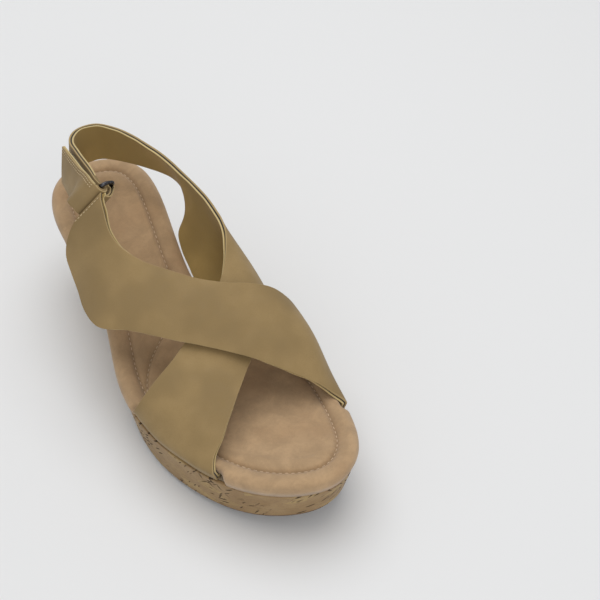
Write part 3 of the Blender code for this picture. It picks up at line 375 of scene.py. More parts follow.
class Strap:
    """A strap's outer face, as one spline along it for each place across it. Its turn is 1 where its outer
    side is to the right of the way along it and the rows run from right to left, otherwise -1."""

    def __init__(self, rows, turn):
        self.turn = turn
        rows = np.array(rows)
        middles = rows.mean(axis=1)
        steps = np.linalg.norm(np.diff(middles, axis=0), axis=1) ** 0.5
        self.knots = np.concatenate([[0], np.cumsum(steps)])
        self.rows = rows
        slopes = np.diff(rows, axis=0) / steps[:, None, None]
        before, after = steps[:-1, None, None], steps[1:, None, None]
        inner = (slopes[:-1] * after + slopes[1:] * before) / (before + after)
        self.slopes = np.concatenate([slopes[:1], inner, slopes[-1:]])

    def face(self, where):
        """Points across the strap at parameters along it, as an array of rows."""
        where = np.atleast_1d(where)
        i = np.clip(np.searchsorted(self.knots, where, side="right") - 1, 0, len(self.knots) - 2)
        step = (self.knots[i + 1] - self.knots[i])[:, None, None]
        t = ((where - self.knots[i])[:, None, None]) / step
        return (
            self.rows[i] * (1 + 2 * t) * (1 - t) ** 2
            + self.slopes[i] * step * t * (1 - t) ** 2
            + self.rows[i + 1] * t * t * (3 - 2 * t)
            - self.slopes[i + 1] * step * t * t * (1 - t)
        )

    def normals(self, where):
        """Normals of the face, taken with the way along the whole width so that layers keep apart where one
        edge turns a corner."""
        small = 1e-4
        where = np.clip(where, self.knots[0] + small, self.knots[-1] - small)
        along = unit(self.face(where + small) - self.face(where - small))
        along = along * OWN_WAY + along.mean(axis=1, keepdims=True) * (1 - OWN_WAY)
        return unit(np.cross(np.gradient(self.face(where), axis=1), along)) * self.turn

    def offset(self, where, distance):
        """The face moved along its own normals, outwards if the distance is positive."""
        where = np.atleast_1d(where)
        return self.face(where) + self.normals(where) * distance

    def rows_between(self, start, end, step=STRAP_ROW):
        """Parameters at even lengths along the middle, from one parameter to another."""
        dense = np.linspace(start, end, 1200)
        length = run_along(self.face(dense).mean(axis=1))
        count = max(int(round(length[-1] / step)), 2)
        return np.interp(np.linspace(0, length[-1], count + 1), length, dense)

    def behind_end(self, distance):
        """The parameter this far along the strap's middle from its last section."""
        dense = np.linspace(self.knots[-6], self.knots[-1], 400)
        left = run_along(self.face(dense).mean(axis=1)[::-1])
        return float(np.interp(distance, left, dense[::-1]))


# Meshes


def in_scene(name, data):
    """A new object with this data, in the scene."""
    obj = bpy.data.objects.new(name, data)
    bpy.context.scene.collection.objects.link(obj)
    return obj


def evaluated_mesh(obj):
    """The object's shape with its modifiers or bevel, as a plain mesh."""
    graph = bpy.context.evaluated_depsgraph_get()
    return bpy.data.meshes.new_from_object(obj.evaluated_get(graph), depsgraph=graph)


def without_repeats(face):
    return tuple(v for k, v in enumerate(face) if v not in face[:k])


def ring_faces(levels, count, closed=False):
    """Faces between rings with the same count of points, and from the last ring to the first if closed."""
    faces = []
    for k in range(levels if closed else levels - 1):
        below, above = k * count, (k + 1) % levels * count
        for i in range(count):
            j = (i + 1) % count
            faces.append((below + i, above + i, above + j, below + j))
    return faces


def mesh_piece(name, verts, faces, finish, sharp=50):
    """A piece at the origin with its place in its mesh, faces turned out."""
    mesh = bpy.data.meshes.new(name)
    mesh.from_pydata([tuple(v) for v in np.asarray(verts)], [], faces)
    shape = bmesh.new()
    shape.from_mesh(mesh)
    bmesh.ops.recalc_face_normals(shape, faces=shape.faces)
    closed = all(len(edge.link_faces) == 2 for edge in shape.edges)
    if closed and shape.calc_volume(signed=True) < 0:
        bmesh.ops.reverse_faces(shape, faces=shape.faces)
    shape.to_mesh(mesh)
    shape.free()
    obj = in_scene(name, mesh)
    mesh.shade_smooth()
    mesh.set_sharp_from_angle(angle=math.radians(sharp))
    mesh.materials.append(finish)
    return obj


def two_faces(outer, inner):
    """Points and faces of the closed solid between two grids of the same size."""
    rows, across = outer.shape[:2]
    under = rows * across
    faces = []
    for i in range(rows - 1):
        for j in range(across - 1):
            a, b, c, d = i * across + j, (i + 1) * across + j, (i + 1) * across + j + 1, i * across + j + 1
            faces += [(d, c, b, a), (under + a, under + b, under + c, under + d)]
    rim = [(i, 0) for i in range(rows)] + [(rows - 1, j) for j in range(1, across)]
    rim += [(i, across - 1) for i in range(rows - 2, -1, -1)] + [(0, j) for j in range(across - 2, 0, -1)]
    edge = [i * across + j for i, j in rim]
    for a, b in zip(edge, edge[1:] + edge[:1]):
        faces.append((a, b, under + b, under + a))
    return np.concatenate([outer.reshape(-1, 3), inner.reshape(-1, 3)]), faces


def ripple(seed, height, longest=70 * MM, shortest=28 * MM, waves=7):
    """Soft unevenness of leather: a height for each place along and across a strap."""
    rng = np.random.default_rng(seed)
    lengths = rng.uniform(shortest, longest, waves)
    ways = rng.uniform(0, 2 * math.pi, waves)
    phases = rng.uniform(0, 2 * math.pi, waves)

    def at(along, across):
        total = 0
        for size, way, phase in zip(lengths, ways, phases):
            place = along * math.cos(way) + across * math.sin(way)
            total = total + np.sin(2 * math.pi / size * place + phase)
        return total * height / math.sqrt(waves)

    return at


def spread(row, places):
    """Points at lengths across a row, carried straight on past its ends."""
    length = run_along(row)
    points = np.column_stack([np.interp(places, length, row[:, k]) for k in range(3)])
    points += np.maximum(-places, 0)[:, None] * unit(row[0] - row[1])
    return points + np.maximum(places - length[-1], 0)[:, None] * unit(row[-1] - row[-2])


def strap_sheet(
    name, face, normals, depth, thickness, finish, margin=0.0, rounding=EASED, wave=None, lift=None
):
    """One layer of a strap under the rows of its outer face. Its edges are eased by the rounding; its margin
    inside the strap's edges may change along it, and lift moves it down off the layer above."""
    along = run_along(face.mean(axis=1))
    steps = np.array([0, 0.12, 0.35, 0.7, 1.0, 2.0]) * rounding
    outer, inner, edges = [], [], []
    for i, row in enumerate(face):
        run = run_along(row)
        low = margin(along[i], 0) if callable(margin) else margin
        high = margin(along[i], 1) if callable(margin) else margin
        middle = np.linspace(low + steps[-1], run[-1] - high - steps[-1], STRAP_COLUMNS)[1:-1]
        places = np.concatenate([low + steps, middle, run[-1] - high - steps[::-1]])
        inside = np.minimum(places - low, run[-1] - high - places)
        near = np.clip(inside / rounding, 0, 1)
        ease = np.minimum(rounding * (1 - np.sqrt(1 - (1 - near) ** 2)), thickness * 0.42)
        held = np.clip(places, 0, run[-1])
        norm = unit(np.column_stack([np.interp(held, run, normals[i][:, k]) for k in range(3)]))
        base = -depth + (wave(along[i], places) if wave else 0.0)
        base = base - (lift(along[i], places / run[-1]) if lift else 0.0)
        points = spread(row, places)
        outer.append(points + norm * (base - ease)[:, None])
        inner.append(points + norm * (base - thickness + ease)[:, None])
        edges.append(1 - np.clip(inside / EDGE_WEAR, 0, 1))
    verts, faces = two_faces(np.array(outer), np.array(inner))
    piece = mesh_piece(name, verts, faces, finish)
    wear_and_channel_shade = piece.data.attributes.new("edge", "FLOAT", "POINT")
    wear_and_channel_shade.data.foreach_set("value", np.tile(np.concatenate(edges), 2).astype(np.float32))
    return piece


def rows_of(strap, where):
    return strap.face(where), strap.normals(where)


# Finishes


def shade(colour, factor):
    """The colour made darker or paler by a factor."""
    return [min(c * factor, 1) for c in colour]


def finish_of(name, colour, roughness, **sockets):
    material = bpy.data.materials.new(name)
    material.use_nodes = True
    shader = material.node_tree.nodes["Principled BSDF"]
    shader.inputs["Base Color"].default_value = (*colour, 1)
    shader.inputs["Roughness"].default_value = roughness
    for socket, value in sockets.items():
        shader.inputs[socket.replace("_", " ")].default_value = value
    return material


class Pattern:
    """Adds nodes to a finish, on Object coordinates in millimetres or on the piece's own map."""

    def __init__(self, material, uv=False):
        self.tree = material.node_tree
        self.shader = self.tree.nodes["Principled BSDF"]
        where = self.tree.nodes.new("ShaderNodeTexCoord")
        self.place = self.turn(where.outputs["UV" if uv else "Object"], (1000, 1000, 1000))

    def put(self, value, socket):
        if isinstance(value, bpy.types.NodeSocket):
            self.tree.links.new(value, socket)
        elif hasattr(value, "__len__") and len(value) == 3 and len(socket.default_value) == 4:
            socket.default_value = (*value, 1)
        else:
            socket.default_value = value

    def turn(self, vector, scale=(1, 1, 1), degrees=(0, 0, 0), shift=(0, 0, 0)):
        node = self.tree.nodes.new("ShaderNodeMapping")
        self.put(vector, node.inputs["Vector"])
        node.inputs["Scale"].default_value = scale
        node.inputs["Rotation"].default_value = [math.radians(d) for d in degrees]
        node.inputs["Location"].default_value = shift
        return node.outputs["Vector"]

    def noise(self, size, detail=3, rough=0.5, distortion=0.0, vector=None):
        """Noise with features about this many millimetres across."""
        node = self.tree.nodes.new("ShaderNodeTexNoise")
        self.put(vector or self.place, node.inputs["Vector"])
        node.inputs["Scale"].default_value = 1 / size
        node.inputs["Detail"].default_value = detail
        node.inputs["Roughness"].default_value = rough
        node.inputs["Distortion"].default_value = distortion
        return node.outputs["Fac"]

    def cells(self, size, feature="F1", output="Distance", random=1.0, vector=None):
        node = self.tree.nodes.new("ShaderNodeTexVoronoi")
        node.feature = feature
        self.put(vector or self.place, node.inputs["Vector"])
        node.inputs["Scale"].default_value = 1 / size
        node.inputs["Randomness"].default_value = random
        return node.outputs[output]

    def sum(self, kind, a, b, c=0.0):
        node = self.tree.nodes.new("ShaderNodeMath")
        node.operation = kind
        for value, socket in zip((a, b, c), node.inputs):
            self.put(value, socket)
        return node.outputs[0]

    def fit(self, value, low, high, out_low=0.0, out_high=1.0):
        node = self.tree.nodes.new("ShaderNodeMapRange")
        node.interpolation_type = "SMOOTHSTEP"
        for given, socket in zip((value, low, high, out_low, out_high), node.inputs):
            self.put(given, socket)
        return node.outputs[0]

    def blend(self, share, a, b, kind="MIX"):
        node = self.tree.nodes.new("ShaderNodeMix")
        node.data_type = "RGBA"
        node.blend_type = kind
        self.put(share, node.inputs[0])
        self.put(a, node.inputs[6])
        self.put(b, node.inputs[7])
        return node.outputs[2]

    def attribute(self, name):
        node = self.tree.nodes.new("ShaderNodeAttribute")
        node.attribute_name = name
        return node.outputs["Fac"]

    def colour(self, value):
        self.put(value, self.shader.inputs["Base Color"])

    def roughness(self, value):
        self.put(value, self.shader.inputs["Roughness"])

    def bump(self, *layers):
        """Height layers as (socket, depth in millimetres), each added to the one before."""
        last = None
        for height, depth in layers:
            node = self.tree.nodes.new("ShaderNodeBump")
            node.inputs["Strength"].default_value = 1.0
            node.inputs["Distance"].default_value = depth * MM
            self.put(height, node.inputs["Height"])
            if last:
                self.put(last, node.inputs["Normal"])
            last = node.outputs["Normal"]
        self.put(last, self.shader.inputs["Normal"])


def nubuck(name, colour, wear_and_channel_shade, tooth=1.0):
    """Buffed leather: a soft nap with cloudy colour, a fine tooth and paler rubbed edges."""
    material = finish_of(name, colour, 0.74, Sheen_Weight=0.1, Sheen_Roughness=0.45, Specular_IOR_Level=0.2)
    pattern = Pattern(material)
    cloud = pattern.noise(30, 2, 0.45)
    mottle = pattern.noise(7, 4, 0.6)
    grain = pattern.noise(0.55, 3, 0.6)
    dark = shade(colour, 0.86)
    light = shade(colour, 1.12)
    tone = pattern.blend(pattern.fit(cloud, 0.35, 0.65), dark, light)
    tone = pattern.blend(pattern.fit(mottle, 0.35, 0.7, 0.0, 0.35), tone, shade(colour, 0.93))
    tone = pattern.blend(pattern.fit(grain, 0.4, 0.75, 0.0, 0.22), tone, shade(colour, 0.7))
    rubbed = pattern.fit(pattern.attribute("edge"), 0.55, 1.0, 0.0, 0.75)
    pattern.colour(pattern.blend(rubbed, tone, wear_and_channel_shade))
    pattern.roughness(pattern.fit(mottle, 0.3, 0.7, 0.64, 0.8))
    soft = pattern.noise(5, 3, 0.5)
    pores = pattern.cells(0.32)
    pattern.bump((soft, 0.12 * tooth), (grain, 0.05 * tooth), (pores, 0.02 * tooth))
    return material


def suede(name, colour):
    """Suede with a short nap brushed in patches and darker where it has been walked on, with painted shade
    along its sunk sewn channels.
    """
    material = finish_of(name, colour, 0.92, Sheen_Weight=0.22, Sheen_Roughness=0.55, Specular_IOR_Level=0.12)
    pattern = Pattern(material)
    brushed = pattern.noise(13, 4, 0.62, 0.6)
    fibres = pattern.noise(0.5, 4, 0.75)
    clumps = pattern.noise(1.9, 3, 0.6)
    tone = pattern.blend(pattern.fit(brushed, 0.33, 0.68), shade(colour, 0.87), shade(colour, 1.09))
    walked = pattern.fit(pattern.noise(36, 2, 0.5), 0.5, 0.7, 0.0, 0.45)
    tone = pattern.blend(walked, tone, (colour[0] * 0.86, colour[1] * 0.8, colour[2] * 0.76))
    tone = pattern.blend(pattern.fit(clumps, 0.42, 0.72, 0.0, 0.3), tone, shade(colour, 0.78))
    tone = pattern.blend(pattern.fit(fibres, 0.45, 0.8, 0.0, 0.32), tone, shade(colour, 1.3))
    # painted shade: the suede darkened along the sunk channels and the waist seam, from the 'sewn' layer
    sewn = pattern.fit(pattern.attribute("sewn"), 0.1, 1.0, 0.0, 0.4)
    pattern.colour(pattern.blend(sewn, tone, shade(colour, 0.42)))
    pattern.bump((clumps, 0.16), (fibres, 0.1))
    return material


# Each set of cracks in the cork: its slant in degrees, then a crack's size, its groups' size and its shift
CRACK_SETS = ((38, 4.4, 24, 0), (58, 3.8, 18, 40), (-50, 5.2, 30, 90), (20, 5.0, 22, 150))


def cork(name):
    """Cork-patterned wrap: tan granules with golden patches and groups of short dark cracks."""
    colour = (0.3, 0.19, 0.085)
    material = finish_of(name, colour, 0.55, Specular_IOR_Level=0.35)
    pattern = Pattern(material, uv=True)
    patch = pattern.cells(9, output="Color", vector=pattern.turn(pattern.place, (0.6, 1.4, 1), (0, 0, 24)))
    split = pattern.tree.nodes.new("ShaderNodeSeparateColor")
    pattern.put(patch, split.inputs[0])
    gold = pattern.fit(split.outputs[0], 0.55, 0.8)
    streaks = pattern.noise(2.2, 4, 0.6, vector=pattern.turn(pattern.place, (0.45, 1.6, 1), (0, 0, 32)))
    speck = pattern.cells(0.7)
    tone = pattern.blend(pattern.fit(pattern.noise(16, 3, 0.5), 0.35, 0.65), colour, (0.36, 0.24, 0.115))
    tone = pattern.blend(pattern.sum("MULTIPLY", gold, 0.55), tone, (0.46, 0.325, 0.135))
    tone = pattern.blend(pattern.fit(streaks, 0.45, 0.75, 0.0, 0.45), tone, (0.22, 0.125, 0.058))
    tone = pattern.blend(pattern.fit(speck, 0.55, 0.9, 0.0, 0.35), tone, (0.2, 0.12, 0.06))
    cracks = None
    for degrees, size, group, shift in CRACK_SETS:
        bent = pattern.turn(pattern.place, (1, 1, 1), (0, 0, degrees), (shift, shift, 0))
        thin = pattern.turn(bent, (0.42, 2.4, 1))
        line = pattern.cells(size, vector=thin)
        wobble = pattern.noise(1.2, 2, 0.5)
        line = pattern.sum("ADD", line, pattern.sum("MULTIPLY", pattern.sum("SUBTRACT", wobble, 0.5), 0.18))
        moved = pattern.turn(pattern.place, shift=(shift, 0, 7))
        here = pattern.fit(pattern.noise(group, 1, 0.4, vector=moved), 0.54, 0.61)
        line = pattern.sum("MULTIPLY", pattern.fit(line, 0.3, 0.2), here)
        cracks = line if cracks is None else pattern.sum("MAXIMUM", cracks, line)
    pattern.colour(pattern.blend(pattern.sum("MULTIPLY", cracks, 0.9), tone, (0.045, 0.026, 0.014)))
    pattern.roughness(pattern.fit(cracks, 0.0, 1.0, 0.52, 0.85))
    pattern.bump((streaks, 0.1), (pattern.sum("SUBTRACT", 1.0, cracks), 0.25), (pattern.noise(0.6, 2), 0.05))
    return material


def plain_grain(name, colour, roughness, size, depth, spread_by=0.16, **sockets):
    """A moulded, pressed or sawn surface with an even fine grain."""
    material = finish_of(name, colour, roughness, **sockets)
    pattern = Pattern(material)
    coarse, fine = pattern.noise(size * 8, 3), pattern.noise(size, 3, 0.6)
    dark, light = shade(colour, 1 - spread_by), shade(colour, 1 + spread_by)
    tone = pattern.blend(pattern.fit(coarse, 0.3, 0.7), dark, light)
    pattern.colour(pattern.blend(pattern.fit(fine, 0.4, 0.8, 0.0, 0.3), tone, shade(colour, 0.7)))
    pattern.bump((coarse, depth), (fine, depth * 0.6))
    return material


def woven(name, colour, size):
    """Narrow woven tape."""
    material = finish_of(name, colour, 0.9, Sheen_Weight=0.2)
    pattern = Pattern(material)
    wave = pattern.tree.nodes.new("ShaderNodeTexWave")
    pattern.put(pattern.turn(pattern.place, (1, 1, 1), (0, 35, 40)), wave.inputs["Vector"])
    wave.inputs["Scale"].default_value = 0.3 / size
    wave.inputs["Distortion"].default_value = 0.6
    threads = wave.outputs["Fac"]
    pattern.colour(pattern.blend(threads, shade(colour, 0.6), shade(colour, 1.4)))
    pattern.bump((threads, 0.12), (pattern.noise(0.4, 2), 0.05))
    return material


def metal(name, colour, roughness):
    material = finish_of(name, colour, roughness, Metallic=1.0)
    pattern = Pattern(material)
    rubbed = pattern.noise(1.4, 4, 0.65)
    pattern.colour(pattern.blend(pattern.fit(rubbed, 0.4, 0.7), colour, shade(colour, 1.7)))
    pattern.roughness(pattern.fit(rubbed, 0.3, 0.7, roughness * 0.7, roughness * 1.5))
    pattern.bump((pattern.noise(0.35, 2), 0.015))
    return material


NUBUCK = nubuck("taupe_nubuck", (0.29, 0.199, 0.088), (0.42, 0.31, 0.15))
LINING_LEATHER = nubuck("lining_leather", (0.37, 0.252, 0.09), (0.62, 0.5, 0.26), 0.5)
MIDDLE_TAPE = woven("reinforcing_tape", (0.035, 0.03, 0.022), 0.5)
FOOTBED_SUEDE = suede("footbed_suede", (0.43, 0.288, 0.162))
CORK_WRAP = cork("cork_wrap")
SOLE_RUBBER = plain_grain("sole_rubber", (0.13, 0.078, 0.045), 0.7, 0.5, 0.06)
THREAD = plain_grain("taupe_thread", (0.56, 0.44, 0.26), 0.8, 0.25, 0.03, Sheen_Weight=0.2)
FOAM = plain_grain("soft_foam", (0.7, 0.62, 0.5), 0.95, 0.5, 0.15)
SUEDE_THREAD = plain_grain("suede_thread", (0.6, 0.45, 0.3), 0.85, 0.25, 0.03, Sheen_Weight=0.2)
GUNMETAL = metal("dark_plated_wire", (0.06, 0.06, 0.065), 0.2)
HOOKS = plain_grain("hook_tape", (0.1, 0.085, 0.045), 0.5, 0.3, 0.03)
LOOPS = plain_grain("loop_tape", (0.12, 0.1, 0.055), 0.95, 0.35, 0.12, Sheen_Weight=0.4)


# Straps


def strap_edges(seed, reach):
    """How far the lining runs past the leather's edges, uneven as cut by hand."""
    uneven = ripple(seed, 0.16 * MM, 22 * MM, 9 * MM, 5)
    return lambda along, side: -reach + uneven(along, side * 0.3)


CLOSURE = Closure()
SHARES = np.linspace(0, 1, 25)


def strap_rows(seat, sections, turn, last_rows):
    rows = seat_sections(seat, SHARES, 0.0) + free_sections(sections, SHARES, 0.0, turn)
    return Strap(rows + last_rows, turn)


HALF = CLOSURE.width / 2
PLACES = np.linspace(-HALF, HALF, len(SHARES))
CROSS = strap_rows(CROSS_STRAP_SEAT, CROSS_SECTIONS, 1,
                   [np.array([CLOSURE.at(s, -CROSS_STOPS, CROSS_OVER_BAR) for s in PLACES])])
SLING = strap_rows(SLING_STRAP_SEAT, SLING_SECTIONS, -1, [
    np.array([CLOSURE.at(s - back * SLING_SLANT, back, out - SLING_UNDER_BAR) for s in PLACES])
    for back, out in ((6 * MM, -0.3 * MM), (0.0, 0.0))
])


def make_strap(name, strap, stops, seed, lift=None):
    """The three layers of a strap: leather, dark middle tape and lining."""
    wave = ripple(seed, 0.22 * MM)
    reach = strap_edges(seed + 1, LINING_REACH)
    for layer, depth, thickness, margin, finish, stop, slot in (
        ("leather", 0.0, SKIN, 0.0, NUBUCK, stops[0], "strap_leather"),
        ("tape", SKIN, MIDDLE, TAPE_INSET, MIDDLE_TAPE, stops[1], "tape"),
        ("lining", SKIN + MIDDLE, LINING, reach, LINING_LEATHER, stops[2], "lining"),
    ):
        where = strap.rows_between(strap.knots[0], strap.behind_end(stop))
        face, normals = rows_of(strap, where)
        shift = lift if layer == "lining" else None
        piece = strap_sheet(
            f"{name}_{layer}_sheet", face, normals, depth, thickness, finish, margin, EASED, wave, shift
        )
        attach(piece, "sandal")
        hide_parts(f"{name}_{layer}")


def loose_lining(along, share):
    """Near the ring the cross strap's lining has come away from the leather at its upper edge."""
    start = np.clip((along - 0.185) / 0.03, 0, 1) * np.clip((0.262 - along) / 0.03, 0, 1)
    upper = np.clip((share - 0.82) / 0.18, 0, 1) ** 1.5
    return start * upper * (1.3 * MM + 0.5 * MM * np.sin(along / (2.1 * MM)))


make_strap("cross_strap", CROSS, (0.0, 0.0, 0.0), 3, loose_lining)
make_strap("sling", SLING, (WIRE_RADIUS + 1.8 * MM, FOLD_LEG + CLEARANCE, FOLD_LEG + CLEARANCE), 11)


# What repeats: threads, hooks and tread bars, each from a small tree with named sizes


def tree_of(name, sizes):
    """An empty tree with a geometry input, the named sizes and a finish."""
    tree = bpy.data.node_groups.new(name, "GeometryNodeTree")
    tree.interface.new_socket("Geometry", in_out="INPUT", socket_type="NodeSocketGeometry")
    for size in sizes:
        tree.interface.new_socket(size, in_out="INPUT", socket_type="NodeSocketFloat")
    tree.interface.new_socket("Finish", in_out="INPUT", socket_type="NodeSocketMaterial")
    tree.interface.new_socket("Geometry", in_out="OUTPUT", socket_type="NodeSocketGeometry")
    given = tree.nodes.new("NodeGroupInput")
    result = tree.nodes.new("NodeGroupOutput")
    return tree, given, result


def add(tree, kind, *inputs, **settings):
    """A node with its settings, and inputs given as (name or index, value or socket)."""
    node = tree.nodes.new(kind)
    for key, value in settings.items():
        setattr(node, key, value)
    for key, value in inputs:
        socket = node.inputs[key]
        if isinstance(value, bpy.types.NodeSocket):
            tree.links.new(value, socket)
        else:
            socket.default_value = value
    return node


def close_tree(tree, given, result, instances):
    """Realises the instances, smooths them and gives them the finish."""
    real = add(tree, "GeometryNodeRealizeInstances", ("Geometry", instances))
    smooth = add(tree, "GeometryNodeSetShadeSmooth", ("Geometry", real.outputs[0]))
    last = add(tree, "GeometryNodeSetMaterial", ("Geometry", smooth.outputs[0]),
               ("Material", given.outputs["Finish"]))
    tree.links.new(last.outputs[0], result.inputs[0])
    return tree


def make_stitch_tree():
    """Short stitches laid end to end along a line."""
    tree, given, result = tree_of("stitch_row", ("Pitch", "Length", "Thread radius"))
    line = add(tree, "GeometryNodeMeshToCurve", ("Mesh", given.outputs["Geometry"]))
    points = add(tree, "GeometryNodeResampleCurve", ("Curve", line.outputs[0]),
                 ("Length", given.outputs["Pitch"]), mode="LENGTH")
    half = add(tree, "ShaderNodeMath", (0, given.outputs["Length"]), (1, 0.5), operation="MULTIPLY")
    size = add(tree, "ShaderNodeCombineXYZ", (0, half.outputs[0]), (1, given.outputs["Thread radius"]),
               (2, given.outputs["Thread radius"]))
    stitch = add(tree, "GeometryNodeMeshUVSphere", ("Segments", 8), ("Rings", 6), ("Radius", 1.0))
    turned = add(tree, "GeometryNodeTransform", ("Geometry", stitch.outputs[0]),
                 ("Rotation", (0, math.pi / 2, 0)))
    way = add(tree, "GeometryNodeInputTangent")
    turn = add(tree, "FunctionNodeAlignRotationToVector", ("Vector", way.outputs[0]), axis="X")
    copies = add(tree, "GeometryNodeInstanceOnPoints", ("Points", points.outputs[0]),
                 ("Instance", turned.outputs[0]), ("Rotation", turn.outputs[0]), ("Scale", size.outputs[0]))
    return close_tree(tree, given, result, copies.outputs[0])


def make_hook_tree():
    """A small bent hook standing on each point, its way up taken from the point's own direction."""
    tree, given, result = tree_of("hook_field", ("Height", "Thread radius"))
    hook = add(tree, "GeometryNodeCurvePrimitiveBezierSegment", ("Start", (0, 0, 0)),
               ("Start Handle", (0, 0, 0.9)), ("End Handle", (0.7, 0, 1.3)), ("End", (0.75, 0, 0.62)),
               ("Resolution", 6))
    thick = add(tree, "ShaderNodeMath", (0, given.outputs["Thread radius"]), (1, given.outputs["Height"]),
                operation="DIVIDE")
    section = add(tree, "GeometryNodeCurvePrimitiveCircle", ("Resolution", 5), ("Radius", thick.outputs[0]))
    wire = add(tree, "GeometryNodeCurveToMesh", ("Curve", hook.outputs[0]),
               ("Profile Curve", section.outputs[0]), ("Fill Caps", True))
    up = add(tree, "GeometryNodeInputNamedAttribute", ("Name", "up"), data_type="FLOAT_VECTOR")
    turn = add(tree, "FunctionNodeAlignRotationToVector", ("Vector", up.outputs[0]), axis="Z")
    spin = add(tree, "FunctionNodeRandomValue", ("Seed", 5), data_type="FLOAT_VECTOR")
    spin.inputs["Min"].default_value = (0, 0, -3.1)
    spin.inputs["Max"].default_value = (0, 0, 3.1)
    both = add(tree, "FunctionNodeRotateRotation", ("Rotation", turn.outputs[0]),
               ("Rotate By", spin.outputs[0]), rotation_space="LOCAL")
    points = add(tree, "GeometryNodeMeshToPoints", ("Mesh", given.outputs["Geometry"]))
    copies = add(tree, "GeometryNodeInstanceOnPoints", ("Points", points.outputs[0]),
                 ("Instance", wire.outputs[0]), ("Rotation", both.outputs[0]),
                 ("Scale", given.outputs["Height"]))
    return close_tree(tree, given, result, copies.outputs[0])


def make_tread_tree():
    """Moulded bars under the sole, one on each point, turned by the point's own angle."""
    tree, given, result = tree_of("tread_bars", ("Length", "Width", "Height"))
    size = add(tree, "ShaderNodeCombineXYZ", (0, given.outputs["Length"]), (1, given.outputs["Width"]),
               (2, given.outputs["Height"]))
    bar = add(tree, "GeometryNodeMeshCylinder", ("Vertices", 8), ("Radius", 0.54), ("Depth", 1.0))
    turn = add(tree, "GeometryNodeInputNamedAttribute", ("Name", "turn"), data_type="FLOAT_VECTOR")
    points = add(tree, "GeometryNodeMeshToPoints", ("Mesh", given.outputs["Geometry"]))
    copies = add(tree, "GeometryNodeInstanceOnPoints", ("Points", points.outputs[0]),
                 ("Instance", bar.outputs[0]), ("Rotation", turn.outputs[0]), ("Scale", size.outputs[0]))
    return close_tree(tree, given, result, copies.outputs[0])


def grown(name, points, edges, tree, sizes, finish, attributes=()):
    """A piece that a tree makes on points or lines, as a plain mesh."""
    seed = bpy.data.meshes.new(f"{name}_guide")
    seed.from_pydata([tuple(p) for p in points], edges, [])
    for key, values in attributes:
        made = seed.attributes.new(key, "FLOAT_VECTOR", "POINT")
        made.data.foreach_set("vector", np.asarray(values, np.float32).ravel())
    guide = in_scene(f"{name}_guide", seed)
    modifier = guide.modifiers.new("grow", "NODES")
    modifier.node_group = tree
    for item in tree.interface.items_tree:
        if item.in_out == "INPUT" and item.name in sizes:
            modifier[item.identifier] = sizes[item.name]
        if item.in_out == "INPUT" and item.name == "Finish":
            modifier[item.identifier] = finish
    guide.update_tag()
    mesh = evaluated_mesh(guide)
    bpy.data.objects.remove(guide)
    obj = in_scene(name, mesh)
    if not mesh.materials:
        mesh.materials.append(finish)
    return obj


STITCHES = make_stitch_tree()
HOOK_FIELD = make_hook_tree()
TREAD_BARS = make_tread_tree()


def sewn(name, lines, body, pitch, length, radius=0.22 * MM, finish=THREAD, slot="strap_leather"):
    """Rows of stitches along lines of points."""
    points, edges = [], []
    for line in lines:
        start = len(points)
        points += list(line)
        edges += [(start + i, start + i + 1) for i in range(len(line) - 1)]
    sizes = {"Pitch": pitch, "Length": length, "Thread radius": radius}
    obj = grown(name, points, edges, STITCHES, sizes, finish)
    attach(obj, body)
    return obj


# Footbed

# Its section: distance inside the outline where free and where under a strap, and rise over the edge line
RIM_SECTION = [
    (-1.5 * MM, 2.9 * MM, FOAM_RISE - 0.5 * MM),
    (-0.9 * MM, 1.9 * MM, RIM_RISE - 2.4 * MM),
    (1.2 * MM, 2.6 * MM, RIM_RISE - 0.6 * MM),
    (3.6 * MM, 4.0 * MM, RIM_RISE),
    (CHANNEL_INSET - 2.6 * MM, CHANNEL_INSET - 2.6 * MM, RIM_RISE - 0.9 * MM),
    (CHANNEL_INSET, CHANNEL_INSET, CHANNEL_RISE),
    (CHANNEL_INSET + 2.8 * MM, CHANNEL_INSET + 2.8 * MM, PAD_RISE - 0.4 * MM),
    (CHANNEL_INSET + 8 * MM, CHANNEL_INSET + 8 * MM, PAD_RISE),
]

STATIONS = np.linspace(0, TOE_INDEX, PERIMETER_STEPS + 1)
NOTCH_MARGIN = 1.2 * MM
NOTCH_STEP = 1.0 * MM
HEM_UNDER_STRAP = 3.4 * MM
HEM_RISE = 0.45 * MM
SQUEEZE_RAMP = 5 * MM
FOOTBED_PITCH = 3.3 * MM
FAR_FROM_CHANNEL = 20 * MM


def ring_of(curve, stations=STATIONS):
    """The closed outline's points: heel, inner side, toe, outer side."""
    return curve(np.concatenate([stations, len(TOP_OUTLINE) - stations[1:-1][::-1]]))


def inset(outline, distance):
    along = np.roll(outline, -1, 0) - np.roll(outline, 1, 0)
    along /= np.linalg.norm(along, axis=1)[:, None]
    return outline + np.stack([along[:, 1], -along[:, 0]], 1) * distance


def seat_shares(ramp):
    """For each perimeter point, 1 where a strap goes in and 0 beyond it, easing off over the ramp."""
    shares = []
    for seat, stations in ((CROSS_STRAP_SEAT, STATIONS), (SLING_STRAP_SEAT, STATIONS[1:-1][::-1])):
        side, front, rear = seat
        places = TOP_CURVE(stations if side == "inner" else len(TOP_OUTLINE) - stations)[:, 1]
        beyond = np.maximum(front - NOTCH_MARGIN - places, places - rear - NOTCH_MARGIN)
        away = np.clip(beyond / ramp, 0, 1)
        shares.append(1 - away * away * (3 - 2 * away))
    return np.concatenate(shares)


# The seam across the waist, from the outer channel to the inner one, in the plan
WAIST_SEAM = cubic(range(7), to_size([
    (-42.0, -24.0), (-35.5, -11.5), (-25.5, 0.5), (-14.4, 9.4), (-4.0, 17.5), (4.5, 28.0), (10.5, 42.0),
]), OPEN)


